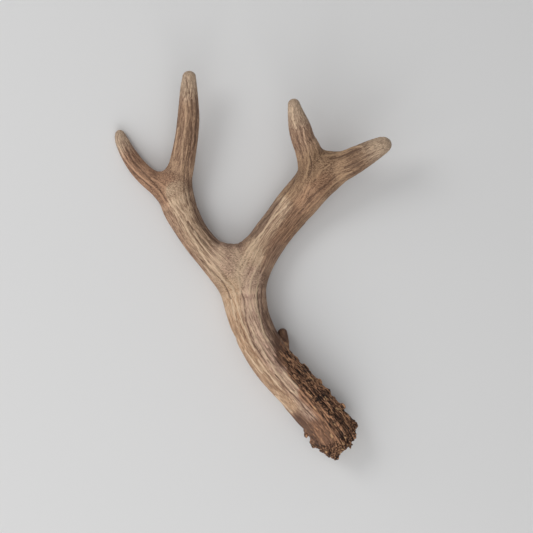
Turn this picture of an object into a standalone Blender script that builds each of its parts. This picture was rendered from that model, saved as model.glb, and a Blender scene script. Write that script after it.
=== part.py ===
"""A shed deer antler lying on its side, as seven pieces split at its three main forks.

The antler lies on the floor z = 0 with its length along Y: the burr at -Y, the points at +Y, the
outer face of the antler up. It touches the floor at the burr's lower rim, under the front beam and
under the tip of the rear tine. Stations are hand-measured in millimetres and the mesh is in metres.
"""
import math

import bmesh
import bpy
import numpy as np
from mathutils import Matrix, Vector

MM = 0.001
TO_MIDDLE = (0.1, 0.0, 0.0)    # shift that puts the origin under the middle of the antler
SAW_GAP = 0.3                  # width of the cut between two pieces
FLOOR_PAD = 0.35               # depth that the antler is let down, to bear on small flats
PAD_REACH = 0.25               # height above the floor up to which the underside is made flat

# Stations along each limb: x, y, z of its centre, half width across, half depth up and down.
LOWER_BEAM = (
    (76.6, -158.0, -1.0, 18.0, 18.0),
    (70.6, -142.4, 14.6, 18.3, 18.0),
    (58.6, -125.6, 20.8, 18.6, 16.8),
    (41.0, -105.3, 23.5, 18.7, 16.5),
    (18.7, -81.4, 23.5, 17.3, 15.8),
    (6.1, -62.3, 22.0, 16.6, 15.4),
    (-1.5, -44.9, 20.0, 16.9, 15.2),
    (-6.2, -26.4, 18.0, 16.8, 14.8),
    (-8.4, -8.7, 16.5, 15.1, 13.6),
)
REAR_BEAM = (
    (-7.0, -33.2, 18.0, 8.8, 8.6),
    (-13.7, -18.5, 17.0, 11.3, 11.8),
    (-26.2, -0.5, 15.8, 13.2, 12.2),
    (-40.5, 16.3, 14.6, 12.5, 12.0),
    (-50.9, 30.7, 14.2, 12.5, 11.6),
    (-60.5, 49.3, 14.2, 13.5, 11.2),
    (-64.3, 63.5, 14.2, 12.2, 10.4),
)
UPRIGHT_TINE = (
    (-60.4, 52.3, 14.4, 8.6, 8.4),
    (-62.7, 70.5, 15.5, 11.3, 10.2),
    (-58.7, 83.7, 18.0, 10.6, 9.8),
    (-55.9, 97.0, 21.3, 10.0, 9.2),
    (-54.0, 110.2, 24.8, 9.4, 8.7),
    (-52.7, 123.3, 28.3, 9.1, 8.3),
    (-52.2, 136.3, 32.0, 8.2, 7.5),
    (-52.0, 147.7, 35.5, 7.1, 6.5),
    (-51.6, 157.0, 38.0, 5.6, 5.1),
)
REAR_TINE = (
    (-65.7, 58.9, 13.8, 7.3, 7.4),
    (-80.6, 69.3, 12.0, 8.1, 8.4),
    (-94.3, 81.5, 9.2, 7.7, 7.4),
    (-104.1, 94.6, 6.8, 6.7, 6.5),
    (-110.1, 106.4, 4.9, 5.6, 5.2),
    (-111.7, 111.4, 4.2, 4.1, 4.2),
)
FRONT_BEAM = (
    (-1.3, -31.4, 18.0, 10.6, 10.4),
    (-0.7, -13.7, 16.4, 13.1, 12.8),
    (3.9, 4.3, 14.6, 14.9, 13.4),
    (13.6, 21.4, 13.6, 15.2, 13.4),
    (24.5, 35.8, 14.2, 15.1, 13.4),
    (33.8, 47.5, 16.3, 15.8, 13.4),
    (44.5, 60.1, 21.0, 16.1, 13.2),
    (54.8, 73.2, 27.5, 14.7, 12.6),
)
SHORT_TINE = (
    (53.5, 66.7, 27.0, 9.1, 9.2),
    (48.0, 93.5, 37.0, 10.5, 10.4),
    (43.0, 104.7, 43.0, 9.7, 9.0),
    (39.9, 114.5, 47.5, 9.2, 8.0),
    (36.5, 126.3, 53.0, 6.5, 6.2),
    (35.1, 132.6, 55.0, 5.0, 4.9),
)
FRONT_TINE = (
    (50.3, 66.2, 26.0, 10.2, 9.4),
    (68.9, 79.7, 33.0, 12.7, 11.2),
    (81.5, 85.4, 38.5, 11.3, 10.4),
    (96.0, 93.3, 44.0, 9.7, 9.2),
    (107.2, 99.2, 48.0, 7.5, 7.1),
    (110.2, 100.2, 49.0, 5.9, 5.5),
)
BROW_TINE = (
    (23.0, -84.0, 17.0, 7.0, 6.6),
    (26.3, -73.8, 14.5, 5.8, 5.8),
    (26.8, -63.2, 12.0, 4.6, 4.6),
    (26.2, -56.2, 10.8, 3.7, 3.7),
)
MAIN_WEB = (
    (-17.9, 3.6, 15.6, 15.4, 11.0),
    (-12.3, 5.4, 15.4, 13.2, 11.0),
    (-6.3, 5.8, 15.2, 13.9, 11.0),
    (-0.2, 10.1, 15.0, 12.2, 11.0),
)
REAR_WEB = (
    (-71.1, 65.1, 13.4, 8.4, 8.4),
    (-72.6, 70.0, 13.2, 7.8, 7.6),
)
FRONT_WEB = (
    (62.5, 74.6, 30.6, 10.5, 9.6),
    (62.2, 85.8, 33.0, 9.4, 9.0),
)

# The burr: a knobbly collar round the shed end, tipped so that its lower rim rests on the floor.
BURR_CENTRE = (70.8, -142.6, 14.0)
BURR_TILT = math.radians(46.0)       # how far the shed face looks down from level
BURR_HEADING = math.radians(-63.0)   # direction of the shed end in plan, from +X
BURR_RING = 16.29                     # mean ring radius of the collar
RING_COS = (-1.95, 0.52, 2.21, -0.68, -0.24, 0.13, -0.15)  # waves that give the ring its own outline
RING_SIN = (1.67, -1.67, 2.18, -1.44, 0.41, -0.18, -0.28)
RING_KNOB = 1.3                      # how far its knobs stand out and in
THICK_KNOB = 0.22                    # and the share by which they swell it
COLLAR_SINK = 0.6                    # how far the collar's middle lies inside its rim's plane
COLLAR_BALLS = 40                    # balls that rough the collar out
BURR_THICK = 3.3                     # radius of the collar's own section
SEAL_DOME = 2.6                      # how far the shed face bulges
DOME_REACH = 1.3                     # share of the ring out to which the bulge is worked out
SHED_CUT = 0.4                       # how near the shed face a limb's rough balls may come
PIT_DEPTH = 1.3
FACE_FADE = 2.5                      # height over which the shed face's pits take over

# Single knobs on the burr's edge and on the rough front: x, y, z of the middle, and radius.
KNOBS = (
    (70.5, -159.9, 28.7, 2.5),
    (66.8, -158.6, 30.2, 1.1),
    (46.1, -138.5, 11.0, 2.8),
    (46.5, -142.2, 9.5, 2.8),
    (51.8, -151.5, 14.9, 1.7),
    (58.7, -154.0, 23.9, 2.0),
    (62.9, -155.6, 20.2, 1.4),
    (75.8, -152.1, 31.3, 1.3),
    (79.6, -150.0, 30.4, 1.4),
    (82.4, -150.0, 26.9, 2.4),
    (89.1, -133.9, 18.4, 1.1),
    (38.4, -78.8, 22.0, 1.9),
    (48.9, -92.4, 23.0, 1.9),
    (61.0, -104.7, 24.0, 2.0),
    (74.6, -118.0, 25.0, 2.2),
)

# Patterns of the relief: a seed, how many fit round a limb, and the length of each.
BURR_KNOBS = (21, 23, 1.0)
FACE_PITS = (4, 11, 3.6)
SWELLS = (3, 9, 42.0)
LINES = (5, 17, 30.0)
RIBS = (11, 15, 26.0)
PEARLS = (8, 15, 9.0)
PEARL_ROOM = (0.2, 0.8)        # where in its cell of the net a pearl may stand
PEARL_TALL = (0.25, 1.0)       # heights from the lowest pearl to the tallest
PEARL_REACH = 0.62             # how far a pearl reaches from its middle
NET_ROWS = 128                 # rows of a net before it repeats

# Heights of the relief that grew on the limbs.
SWELL_HEIGHT = 0.6
FURROW_DEPTH = 1.0
FURROW_WIDTH = 0.4             # as a share of the random lines' height
LOW_LIFT = 0.3
RIB_HEIGHT = 1.14
RIB_DEPTH = 0.66
PEARL_HEIGHT = 3.5
PEARL_LOSS = 0.034             # fall of the pearls' height for each millimetre up the beam
ROUGH_SINK = 1.1               # how far the rough front is cut below the smooth skin
SMOOTH_POINT = 8.0             # length of a tine's point that has no relief
POINT_FADE = 60.0              # length over which the relief comes in below it
BASE_FADE = 190.0              # distance above the burr over which furrows halve
FURROW_START = 22.0            # distance along the lower beam below which the burr has no furrows
FURROW_RISE = 12.0             # length over which they come in above it
ROUGH_LENGTH = 62.0            # height above the burr at which the rough front starts to end
ROUGH_FADE = 45.0
ROUGH_TURN = 0.75              # its half width up the beam, as an angle, doubled by the burr
ROUGH_EDGE = 0.55
STRAND_REACH = 3.0             # how softly one strand's relief gives way to the next's

SECTION_STEP = 3.0             # spacing of the sections worked out along a limb
BALL_SPLITS = 2                # fineness of the balls that rough the limbs out
VOXEL = 1.3                    # size of the grid that fuses the balls into one skin
FUSE_REACH = 3.0               # how softly limbs flow into each other
KNOB_REACH = 1.0               # the same for the brow tine
COLLAR_REACH = 1.8             # the same for the burr's collar
BEAD_REACH = 0.6               # the same for the single knobs
SETTLE_ROUNDS = 6
POINTS_AT_ONCE = 4000
TARGET_TRIANGLES = 8600
BASE_RUN = 20.0                # distance along the lower beam at which the burr stands
FRONT_TURN = 0.1               # the rough front's middle, as an angle round the beam
SAW_REACH = (50.0, 32.0, 24.0, 52.0, 34.0, 30.0)   # where each limb above a fork is cut off
BLADE_WIDTH = 44.0
UP = np.array((0.0, 0.0, 1.0))

# Each piece's colour and roughness, in the order of the limbs.
PIECES = {
    "lower_beam": ((0.22, 0.135, 0.085), 0.75),
    "rear_beam": ((0.27, 0.18, 0.115), 0.66),
    "rear_upright_tine": ((0.32, 0.22, 0.15), 0.6),
    "rear_tine": ((0.31, 0.21, 0.14), 0.6),
    "front_beam": ((0.25, 0.165, 0.108), 0.66),
    "front_short_tine": ((0.29, 0.2, 0.135), 0.6),
    "front_tine": ((0.28, 0.19, 0.13), 0.6),
}


def unit(vectors):
    """Each vector at length one."""
    length = np.linalg.norm(vectors, axis=-1, keepdims=True)
    return vectors / np.maximum(length, 1e-9)


def smooth_run(stations):
    """Sections every few millimetres on a smooth curve through the stations."""
    knots = np.array(stations, float)
    knots = np.vstack([2 * knots[0] - knots[1], knots, 2 * knots[-1] - knots[-2]])
    sections = []
    for a, b, c, d in zip(knots, knots[1:], knots[2:], knots[3:]):
        count = max(2, int(np.linalg.norm(c[:3] - b[:3]) / SECTION_STEP))
        t = np.linspace(0, 1, count, endpoint=False)[:, None]
        cubic = 3 * b - a - 3 * c + d
        square = 2 * a - 5 * b + 4 * c - d
        sections.append(b + 0.5 * ((c - a) * t + square * t ** 2 + cubic * t ** 3))
    sections.append(knots[-2:-1])
    return np.vstack(sections)


class Limb:
    """A beam, tine or web: oval sections along a smooth axis, with round ends."""

    def __init__(self, stations):
        run = smooth_run(stations)
        self.centre = run[:, :3]
        self.half = run[:, 3:5]
        self.heading = unit(np.gradient(self.centre, axis=0))
        self.across = unit(np.cross(self.heading, UP))
        self.lift = np.cross(self.across, self.heading)
        steps = np.linalg.norm(np.diff(self.centre, axis=0), axis=1)
        self.along = np.concatenate([[0.0], np.cumsum(steps)])

    def nearest(self, points):
        """The section number, with its fraction, that lies nearest to each point."""
        start = self.centre[:-1]
        edge = np.diff(self.centre, axis=0)
        offset = points[:, None] - start
        t = np.clip((offset * edge).sum(2) / (edge ** 2).sum(1), 0, 1)
        gap = np.linalg.norm(offset - t[..., None] * edge, axis=2) - self.half.mean(1)[:-1]
        pick = gap.argmin(1)
        return pick, t[np.arange(len(points)), pick]

    def read(self, rows, pick, t):
        """A value kept for each section, read between two sections."""
        t = t.reshape(-1, *([1] * (rows.ndim - 1)))
        return rows[pick] * (1 - t) + rows[pick + 1] * t

    def measure(self, points):
        """How far each point is outside the skin, and which way leads straight out."""
        pick, t = self.nearest(points)
        offset = points - self.read(self.centre, pick, t)
        half = self.read(self.half, pick, t)
        local = self.local(offset, pick, t)
        scaled = np.linalg.norm(local / np.column_stack([half, half.min(1)]), axis=1)
        reach = np.linalg.norm(offset, axis=1)
        return reach * (1 - 1 / np.maximum(scaled, 1e-6)), unit(offset)

    def local(self, offset, pick, t):
        """An offset as its parts across, up and along the limb."""
        frames = (self.across, self.lift, self.heading)
        return np.column_stack([(offset * self.read(f, pick, t)).sum(1) for f in frames])

    def turn_and_run(self, points):
        """The angle round the limb and the distance along it, with the gap to its skin."""
        pick, t = self.nearest(points)
        offset = points - self.read(self.centre, pick, t)
        local = self.local(offset, pick, t)
        gap = np.linalg.norm(offset, axis=1) - self.read(self.half, pick, t).mean(1)
        return np.arctan2(local[:, 1], local[:, 0]), self.read(self.along, pick, t), gap


def blend(parts, reach):
    """One skin from several, flowing into each other over about the given reach."""
    gaps = np.stack([gap for gap, way in parts])
    ways = np.stack([way for gap, way in parts])
    low = gaps.min(0)
    weight = np.exp((low - gaps) / reach)
    total = weight.sum(0)
    return low - reach * np.log(total), unit((weight[..., None] * ways).sum(0))


class Burr:
    """The collar round the shed end and the domed face that it frames."""

    def __init__(self):
        level, drop = math.cos(BURR_TILT), math.sin(BURR_TILT)
        east, north = math.cos(BURR_HEADING), math.sin(BURR_HEADING)
        self.centre = np.array(BURR_CENTRE)
        self.out = np.array((east * level, north * level, -drop))
        self.across = np.array((-north, east, 0.0))
        self.upper = np.cross(self.across, self.out)

    def local(self, points):
        """Angle round the collar, distance from its axis and height out of its plane."""
        offset = points - self.centre
        side, top, out = offset @ self.across, offset @ self.upper, offset @ self.out
        return np.arctan2(top, side), np.hypot(side, top), out

    def seal(self, points):
        """How far points are outside the domed shed face."""
        angle, radius, out = self.local(points)
        dome = SEAL_DOME * (1 - np.minimum(radius / BURR_RING, DOME_REACH) ** 2)
        return out - dome, np.broadcast_to(self.out, points.shape)

    def collar(self, points):
        """How far points are outside the collar, whose knobs swell and pinch it."""
        angle, radius, out = self.local(points)
        outline = sum(a * np.cos(n * angle) + b * np.sin(n * angle)
                      for n, (a, b) in enumerate(zip(RING_COS, RING_SIN), start=1))
        knob = streaks(*BURR_KNOBS, angle, np.zeros_like(angle))
        ring = BURR_RING + outline + RING_KNOB * knob
        radial = unit(points - self.centre - out[:, None] * self.out)
        height = out + BURR_THICK * COLLAR_SINK
        offset = (radius - ring)[:, None] * radial + height[:, None] * self.out
        return np.linalg.norm(offset, axis=1) - BURR_THICK * (1 + THICK_KNOB * knob), unit(offset)

    def pits(self, points):
        """Depth of the pits in the shed face, in millimetres below it."""
        angle, radius, out = self.local(points)
        return -PIT_DEPTH * pearls(*FACE_PITS, angle, radius)


def knob_skin(points):
    """How far each point is outside the nearest single knob, and the way out of it."""
    knobs = np.array(KNOBS)
    offset = points[:, None] - knobs[:, :3]
    gap = np.linalg.norm(offset, axis=2) - knobs[:, 3]
    pick = gap.argmin(1)
    row = np.arange(len(points))
    return gap[row, pick], unit(offset[row, pick])


class Antler:
    """The whole outer form: limbs and webs, brow tine, burr and shed face as one skin."""

    def __init__(self):
        trunk = (LOWER_BEAM, REAR_BEAM, UPRIGHT_TINE, REAR_TINE, FRONT_BEAM, SHORT_TINE, FRONT_TINE)
        self.limbs = [Limb(stations) for stations in trunk]
        self.webs = [Limb(stations) for stations in (MAIN_WEB, REAR_WEB, FRONT_WEB)]
        self.brow = Limb(BROW_TINE)
        self.burr = Burr()
        below = LOWER_BEAM[:-1]
        rear, front = below + REAR_BEAM[2:-1], below + FRONT_BEAM[2:-1]
        self.strands = [Limb(rear + REAR_TINE[1:]), Limb(rear + UPRIGHT_TINE[1:]),
                        Limb(front + SHORT_TINE[1:]), Limb(front + FRONT_TINE[1:])]

    def measure(self, points):
        """How far each point is outside the antler's smooth skin, and the way out."""
        gap, way = blend([limb.measure(points) for limb in self.limbs + self.webs], FUSE_REACH)
        gap, way = blend([(gap, way), self.brow.measure(points)], KNOB_REACH)
        shed, out = self.burr.seal(points)
        past = (shed > gap)[:, None]
        gap, way = np.maximum(gap, shed), np.where(past, out, way)
        gap, way = blend([(gap, way), self.burr.collar(points)], COLLAR_REACH)
        return blend([(gap, way), knob_skin(points)], BEAD_REACH)

    def settle(self, points):
        """Moves points straight onto the skin, and returns them with the way out there."""
        for _ in range(SETTLE_ROUNDS):
            gap, way = self.measure(points)
            points = points - gap[:, None] * way
        return points, way

    def relief(self, points):
        """Height of the ridges, furrows and pearls over the smooth skin, in millimetres."""
        rows = [strand.turn_and_run(points) for strand in self.strands]
        gaps = np.stack([gap for turn, run, gap in rows])
        weight = np.exp((gaps.min(0) - gaps) / STRAND_REACH)
        weight /= weight.sum(0)
        heights = [surface_height(turn, run, strand.along[-1])
                   for (turn, run, gap), strand in zip(rows, self.strands)]
        grown = (weight * np.stack(heights)).sum(0)
        on_face = ease(1 + self.burr.seal(points)[0] / FACE_FADE)
        return (1 - on_face) * grown + on_face * self.burr.pits(points)


def ease(value):
    """Smooth step from 0 to 1 as the value goes from 0 to 1."""
    value = np.clip(value, 0, 1)
    return value * value * (3 - 2 * value)


def streaks(seed, around, length, turn, run):
    """Smooth random lines round a limb, each about `length` millimetres long."""
    table = np.random.default_rng(seed).uniform(-1, 1, (around, NET_ROWS))
    u, v = turn / math.tau * around, run / length
    column, row = np.floor(u).astype(int), np.floor(v).astype(int)
    s, t = ease(u - column), ease(v - row)
    corner = [table[(column + i) % around, (row + j) % NET_ROWS] for i in (0, 1) for j in (0, 1)]
    near = corner[0] * (1 - t) + corner[1] * t
    far = corner[2] * (1 - t) + corner[3] * t
    return near * (1 - s) + far * s


def pearls(seed, around, length, turn, run):
    """Separate knobs, one to a cell of a net round the limb, each with a height up to 1."""
    random = np.random.default_rng(seed)
    shift = random.uniform(*PEARL_ROOM, (2, around, NET_ROWS))
    height = random.uniform(*PEARL_TALL, (around, NET_ROWS))
    u, v = turn / math.tau * around, run / length
    best = np.zeros_like(u)
    for i in (-1, 0, 1):
        for j in (-1, 0, 1):
            column, row = np.floor(u).astype(int) + i, np.floor(v).astype(int) + j
            cell = (column % around, row % NET_ROWS)
            gap = np.hypot(u - column - shift[0][cell], v - row - shift[1][cell])
            best = np.maximum(best, height[cell] * ease(1 - gap / PEARL_REACH))
    return best


def surface_height(turn, run, length):
    """Relief along one strand: furrows that fade to smooth points, and pearls by the burr."""
    tip_fade = ease((length - run - SMOOTH_POINT) / POINT_FADE)
    base = 1 - ease((run - BASE_RUN) / BASE_FADE)
    swell = SWELL_HEIGHT * streaks(*SWELLS, turn, run)
    lines = streaks(*LINES, turn, run)
    furrow = -FURROW_DEPTH * np.maximum(0, 1 - np.abs(lines) / FURROW_WIDTH)
    low = (0.5 + 0.5 * base) * (swell + furrow + LOW_LIFT)
    low *= ease((run - FURROW_START) / FURROW_RISE)
    ribs = streaks(*RIBS, turn, run)
    crest = RIB_HEIGHT * np.maximum(0, ribs) - RIB_DEPTH * np.maximum(0, -ribs)
    tall = PEARL_HEIGHT - PEARL_LOSS * (run - BASE_RUN)
    knobs = tall * pearls(*PEARLS, turn, run)
    return tip_fade * low + pearl_zone(turn, run) * (crest + knobs - ROUGH_SINK)


def pearl_zone(turn, run):
    """1 on the rough front of the lower beam, fading to 0 at its sides and up the beam."""
    climb = 1 - ease((run - BASE_RUN - ROUGH_LENGTH) / ROUGH_FADE)
    half_turn = ROUGH_TURN * (1 + climb)
    return climb * ease((half_turn - np.abs(turn - FRONT_TURN)) / ROUGH_EDGE)


def add_ball(bm, centre, axes, half):
    """A rough ball with the given half sizes along three axes."""
    turn = Matrix(axes).transposed().to_4x4()
    place = Matrix.Translation(Vector(centre)) @ turn @ Matrix.Diagonal((*half, 1.0))
    bmesh.ops.create_icosphere(bm, subdivisions=BALL_SPLITS, radius=1.0, matrix=place)


def rough_antler(antler):
    """Balls along every limb and round the burr, overlapping as a rough model of the antler."""
    bm = bmesh.new()
    for limb in antler.limbs + antler.webs + [antler.brow]:
        for i, centre in enumerate(limb.centre):
            if (centre - antler.burr.centre) @ antler.burr.out > -SHED_CUT * limb.half[i].mean():
                continue
            wide, deep = limb.half[i]
            axes = (limb.across[i], limb.heading[i], limb.lift[i])
            add_ball(bm, centre, axes, (wide, deep, deep))
    burr = antler.burr
    for angle in np.linspace(0, math.tau, COLLAR_BALLS, endpoint=False):
        radial = math.cos(angle) * burr.across + math.sin(angle) * burr.upper
        centre = burr.centre + BURR_RING * radial - 0.5 * BURR_THICK * burr.out
        add_ball(bm, centre, (burr.across, burr.out, burr.upper), (BURR_THICK,) * 3)
    for x, y, z, radius in KNOBS:
        add_ball(bm, (x, y, z), (burr.across, burr.out, burr.upper), (radius,) * 3)
    mesh = bpy.data.meshes.new("antler")
    bm.to_mesh(mesh)
    bm.free()
    return mesh


def with_modifier(mesh, kind, **settings):
    """The mesh that a modifier makes of a mesh, which it takes the place of."""
    holder = bpy.data.objects.new("holder", mesh)
    bpy.context.scene.collection.objects.link(holder)
    modifier = holder.modifiers.new(kind.lower(), kind)
    for name, value in settings.items():
        setattr(modifier, name, value)
    seen = holder.evaluated_get(bpy.context.evaluated_depsgraph_get())
    made = bpy.data.meshes.new_from_object(seen)
    bpy.data.objects.remove(holder)
    return made


def corners(mesh):
    """The mesh's points as rows of x, y, z."""
    flat = np.empty(len(mesh.vertices) * 3)
    mesh.vertices.foreach_get("co", flat)
    return flat.reshape(-1, 3)


def move_corners(mesh, points):
    """Puts the mesh's points at new places."""
    mesh.vertices.foreach_set("co", np.ascontiguousarray(points, float).ravel())
    mesh.update()


def in_batches(work, points):
    """Work done on a few thousand points at a time, and joined."""
    starts = range(0, len(points), POINTS_AT_ONCE)
    return np.vstack([work(points[i:i + POINTS_AT_ONCE]) for i in starts])


def carve(antler, points):
    """Points of the rough skin moved onto the finished one, with its relief."""
    placed, way = antler.settle(points)
    placed = placed + antler.relief(placed)[:, None] * way
    placed[:, 2] -= FLOOR_PAD
    return placed


def whole_antler(antler):
    """The antler as one closed mesh of few triangles, in millimetres."""
    mesh = with_modifier(rough_antler(antler), "REMESH", mode="VOXEL", voxel_size=VOXEL)
    move_corners(mesh, in_batches(lambda p: antler.settle(p)[0], corners(mesh)))
    mesh = with_modifier(mesh, "REMESH", mode="VOXEL", voxel_size=VOXEL)
    move_corners(mesh, in_batches(lambda p: carve(antler, p), corners(mesh)))
    mesh = with_modifier(mesh, "TRIANGULATE")
    mesh = with_modifier(mesh, "DECIMATE", ratio=TARGET_TRIANGLES / len(mesh.polygons))
    points = corners(mesh)
    points[points[:, 2] < PAD_REACH, 2] = 0.0
    move_corners(mesh, points)
    return mesh


def add_saw(bm, limb, reach):
    """A thin square blade across a limb, at a distance along it from where the limb starts."""
    pick = int(np.searchsorted(limb.along, reach))
    blade = Matrix((limb.across[pick], limb.heading[pick], limb.lift[pick])).transposed()
    place = Matrix.Translation(Vector(limb.centre[pick])) @ blade.to_4x4()
    size = Matrix.Diagonal((BLADE_WIDTH, SAW_GAP, BLADE_WIDTH, 1.0))
    bmesh.ops.create_cube(bm, size=1.0, matrix=place @ size)


def saw_blades(antler):
    """The blades that part the antler, one across the root of each limb above a fork."""
    bm = bmesh.new()
    for limb, reach in zip(antler.limbs[1:], SAW_REACH):
        add_saw(bm, limb, reach)
    mesh = bpy.data.meshes.new("saw_blades")
    bm.to_mesh(mesh)
    bm.free()
    blades = bpy.data.objects.new("saw_blades", mesh)
    blades.hide_render = True
    blades.display_type = "WIRE"
    bpy.context.scene.collection.objects.link(blades)
    return blades


def loose_pieces(mesh):
    """Each closed body of a mesh as a mesh of its own."""
    bm = bmesh.new()
    bm.from_mesh(mesh)
    left = set(bm.verts)
    groups = []
    while left:
        group, edge = set(), {left.pop()}
        while edge:
            group |= edge
            edge = {e.other_vert(v) for v in edge for e in v.link_edges} - group
        left -= group
        groups.append({v.index for v in group})
    bm.free()
    return [only(mesh, group) for group in groups]


def only(mesh, keep):
    """A copy of a mesh with none but the named points and their faces."""
    bm = bmesh.new()
    bm.from_mesh(mesh)
    drop = [v for v in bm.verts if v.index not in keep]
    bmesh.ops.delete(bm, geom=drop, context="VERTS")
    piece = bpy.data.meshes.new("piece")
    bm.to_mesh(piece)
    bm.free()
    return piece


def antler_material(name, colour, roughness):
    """A plain finish: colour and roughness, not metallic."""
    material = bpy.data.materials.new(name)
    material.use_nodes = True
    shader = material.node_tree.nodes["Principled BSDF"]
    shader.inputs["Base Color"].default_value = (*colour, 1.0)
    shader.inputs["Roughness"].default_value = roughness
    shader.inputs["Metallic"].default_value = 0.0
    return material


def nearest_name(mesh, antler):
    """The name of the limb whose middle lies nearest to the middle of a piece."""
    middle = corners(mesh).mean(0)
    gaps = [np.linalg.norm(limb.centre - middle, axis=1)[len(limb.centre) // 2]
            for limb in antler.limbs]
    return list(PIECES)[int(np.argmin(gaps))]


def place_piece(mesh, name):
    """Puts a piece in the scene in metres, with its own name and finish."""
    mesh.transform(Matrix.Scale(MM, 4) @ Matrix.Translation(TO_MIDDLE))
    mesh.name = name
    mesh.materials.clear()
    mesh.materials.append(antler_material(name, *PIECES[name]))
    mesh.shade_smooth()
    piece = bpy.data.objects.new(name, mesh)
    bpy.context.scene.collection.objects.link(piece)


def main():
    """Builds the antler and parts it at its forks."""
    for old in list(bpy.data.objects):
        bpy.data.objects.remove(old)
    antler = Antler()
    whole = whole_antler(antler)
    blades = saw_blades(antler)
    parted = with_modifier(whole, "BOOLEAN", operation="DIFFERENCE", solver="EXACT", object=blades)
    bpy.data.objects.remove(blades)
    for mesh in loose_pieces(parted):
        place_piece(mesh, nearest_name(mesh, antler))


main()
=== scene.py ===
"""The looks of a shed deer antler that lies on its side on a pale studio floor.

The antler is one grown piece, so one closed skin stands for its seven solid pieces. The skin is
roughed out with balls along each limb, fused on a fine grid, moved onto the same oval sections
that the solids have, and raised and cut with ridges, furrows, beads and pits. Its colours follow
the growth of the limbs. Sizes are in millimetres up to the finished mesh, which is in metres.
"""
from __future__ import annotations

import logging
import math
from collections.abc import Callable
from dataclasses import dataclass, field
from enum import Enum

import bmesh
import bpy
import numpy as np
from mathutils import Matrix, Vector


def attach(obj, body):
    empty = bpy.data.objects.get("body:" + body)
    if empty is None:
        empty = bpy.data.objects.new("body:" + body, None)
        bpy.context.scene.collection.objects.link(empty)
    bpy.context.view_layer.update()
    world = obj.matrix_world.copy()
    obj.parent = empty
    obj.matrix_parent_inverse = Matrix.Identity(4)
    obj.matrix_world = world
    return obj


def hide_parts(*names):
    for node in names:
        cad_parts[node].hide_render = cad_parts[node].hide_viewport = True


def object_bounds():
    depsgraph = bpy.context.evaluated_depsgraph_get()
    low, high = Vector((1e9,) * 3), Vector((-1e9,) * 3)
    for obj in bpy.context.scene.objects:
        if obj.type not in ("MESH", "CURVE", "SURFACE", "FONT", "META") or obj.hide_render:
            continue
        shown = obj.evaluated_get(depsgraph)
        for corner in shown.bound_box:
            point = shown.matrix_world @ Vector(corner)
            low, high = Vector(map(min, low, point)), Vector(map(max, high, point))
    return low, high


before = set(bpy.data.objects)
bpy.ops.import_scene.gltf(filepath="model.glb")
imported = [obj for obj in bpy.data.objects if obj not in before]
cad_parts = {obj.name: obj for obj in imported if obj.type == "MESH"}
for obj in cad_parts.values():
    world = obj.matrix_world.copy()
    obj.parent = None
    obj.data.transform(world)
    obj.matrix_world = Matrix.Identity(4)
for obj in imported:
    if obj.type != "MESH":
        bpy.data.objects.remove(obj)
size_before = [list(corner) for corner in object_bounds()]

Array = np.ndarray
Skin = tuple[Array, Array]
Station = tuple[float, float, float, float, float]
Colour = tuple[float, float, float]
PlanLine = tuple[float, ...]
Socket = bpy.types.NodeSocket

MM = 0.001
TINY = 1e-9
UP = np.array((0.0, 0.0, 1.0))
LINE_REACH = 4.0
LINE_LIFT = 1.0
NOISE_MIDDLE = 0.5
TO_MIDDLE = np.array((0.1, 0.0, 0.0))
LOG = logging.getLogger("antler")

# Stations along each limb: x, y, z of its centre, half width across, half depth up and down.
LOWER_BEAM: tuple[Station, ...] = (
    (76.6, -158.0, -1.0, 18.0, 18.0),
    (70.6, -142.4, 14.6, 18.3, 18.0),
    (58.6, -125.6, 20.8, 18.6, 16.8),
    (41.0, -105.3, 23.5, 18.7, 16.5),
    (18.7, -81.4, 23.5, 17.3, 15.8),
    (6.1, -62.3, 22.0, 16.6, 15.4),
    (-1.5, -44.9, 20.0, 16.9, 15.2),
    (-6.2, -26.4, 18.0, 16.8, 14.8),
    (-8.4, -8.7, 16.5, 15.1, 13.6),
)
REAR_BEAM: tuple[Station, ...] = (
    (-7.0, -33.2, 18.0, 8.8, 8.6),
    (-13.7, -18.5, 17.0, 11.3, 11.8),
    (-26.2, -0.5, 15.8, 13.2, 12.2),
    (-40.5, 16.3, 14.6, 12.5, 12.0),
    (-50.9, 30.7, 14.2, 12.5, 11.6),
    (-60.5, 49.3, 14.2, 13.5, 11.2),
    (-64.3, 63.5, 14.2, 12.2, 10.4),
)
UPRIGHT_TINE: tuple[Station, ...] = (
    (-60.4, 52.3, 14.4, 8.6, 8.4),
    (-62.7, 70.5, 15.5, 11.3, 10.2),
    (-58.7, 83.7, 18.0, 10.6, 9.8),
    (-55.9, 97.0, 21.3, 10.0, 9.2),
    (-54.0, 110.2, 24.8, 9.4, 8.7),
    (-52.7, 123.3, 28.3, 9.1, 8.3),
    (-52.2, 136.3, 32.0, 8.2, 7.5),
    (-52.0, 147.7, 35.5, 7.1, 6.5),
    (-51.6, 157.0, 38.0, 5.6, 5.1),
)
REAR_TINE: tuple[Station, ...] = (
    (-65.7, 58.9, 13.8, 7.3, 7.4),
    (-80.6, 69.3, 12.0, 8.1, 8.4),
    (-94.3, 81.5, 9.2, 7.7, 7.4),
    (-104.1, 94.6, 6.8, 6.7, 6.5),
    (-110.1, 106.4, 4.9, 5.6, 5.2),
    (-111.7, 111.4, 4.2, 4.1, 4.2),
)
FRONT_BEAM: tuple[Station, ...] = (
    (-1.3, -31.4, 18.0, 10.6, 10.4),
    (-0.7, -13.7, 16.4, 13.1, 12.8),
    (3.9, 4.3, 14.6, 14.9, 13.4),
    (13.6, 21.4, 13.6, 15.2, 13.4),
    (24.5, 35.8, 14.2, 15.1, 13.4),
    (33.8, 47.5, 16.3, 15.8, 13.4),
    (44.5, 60.1, 21.0, 16.1, 13.2),
    (54.8, 73.2, 27.5, 14.7, 12.6),
)
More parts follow.
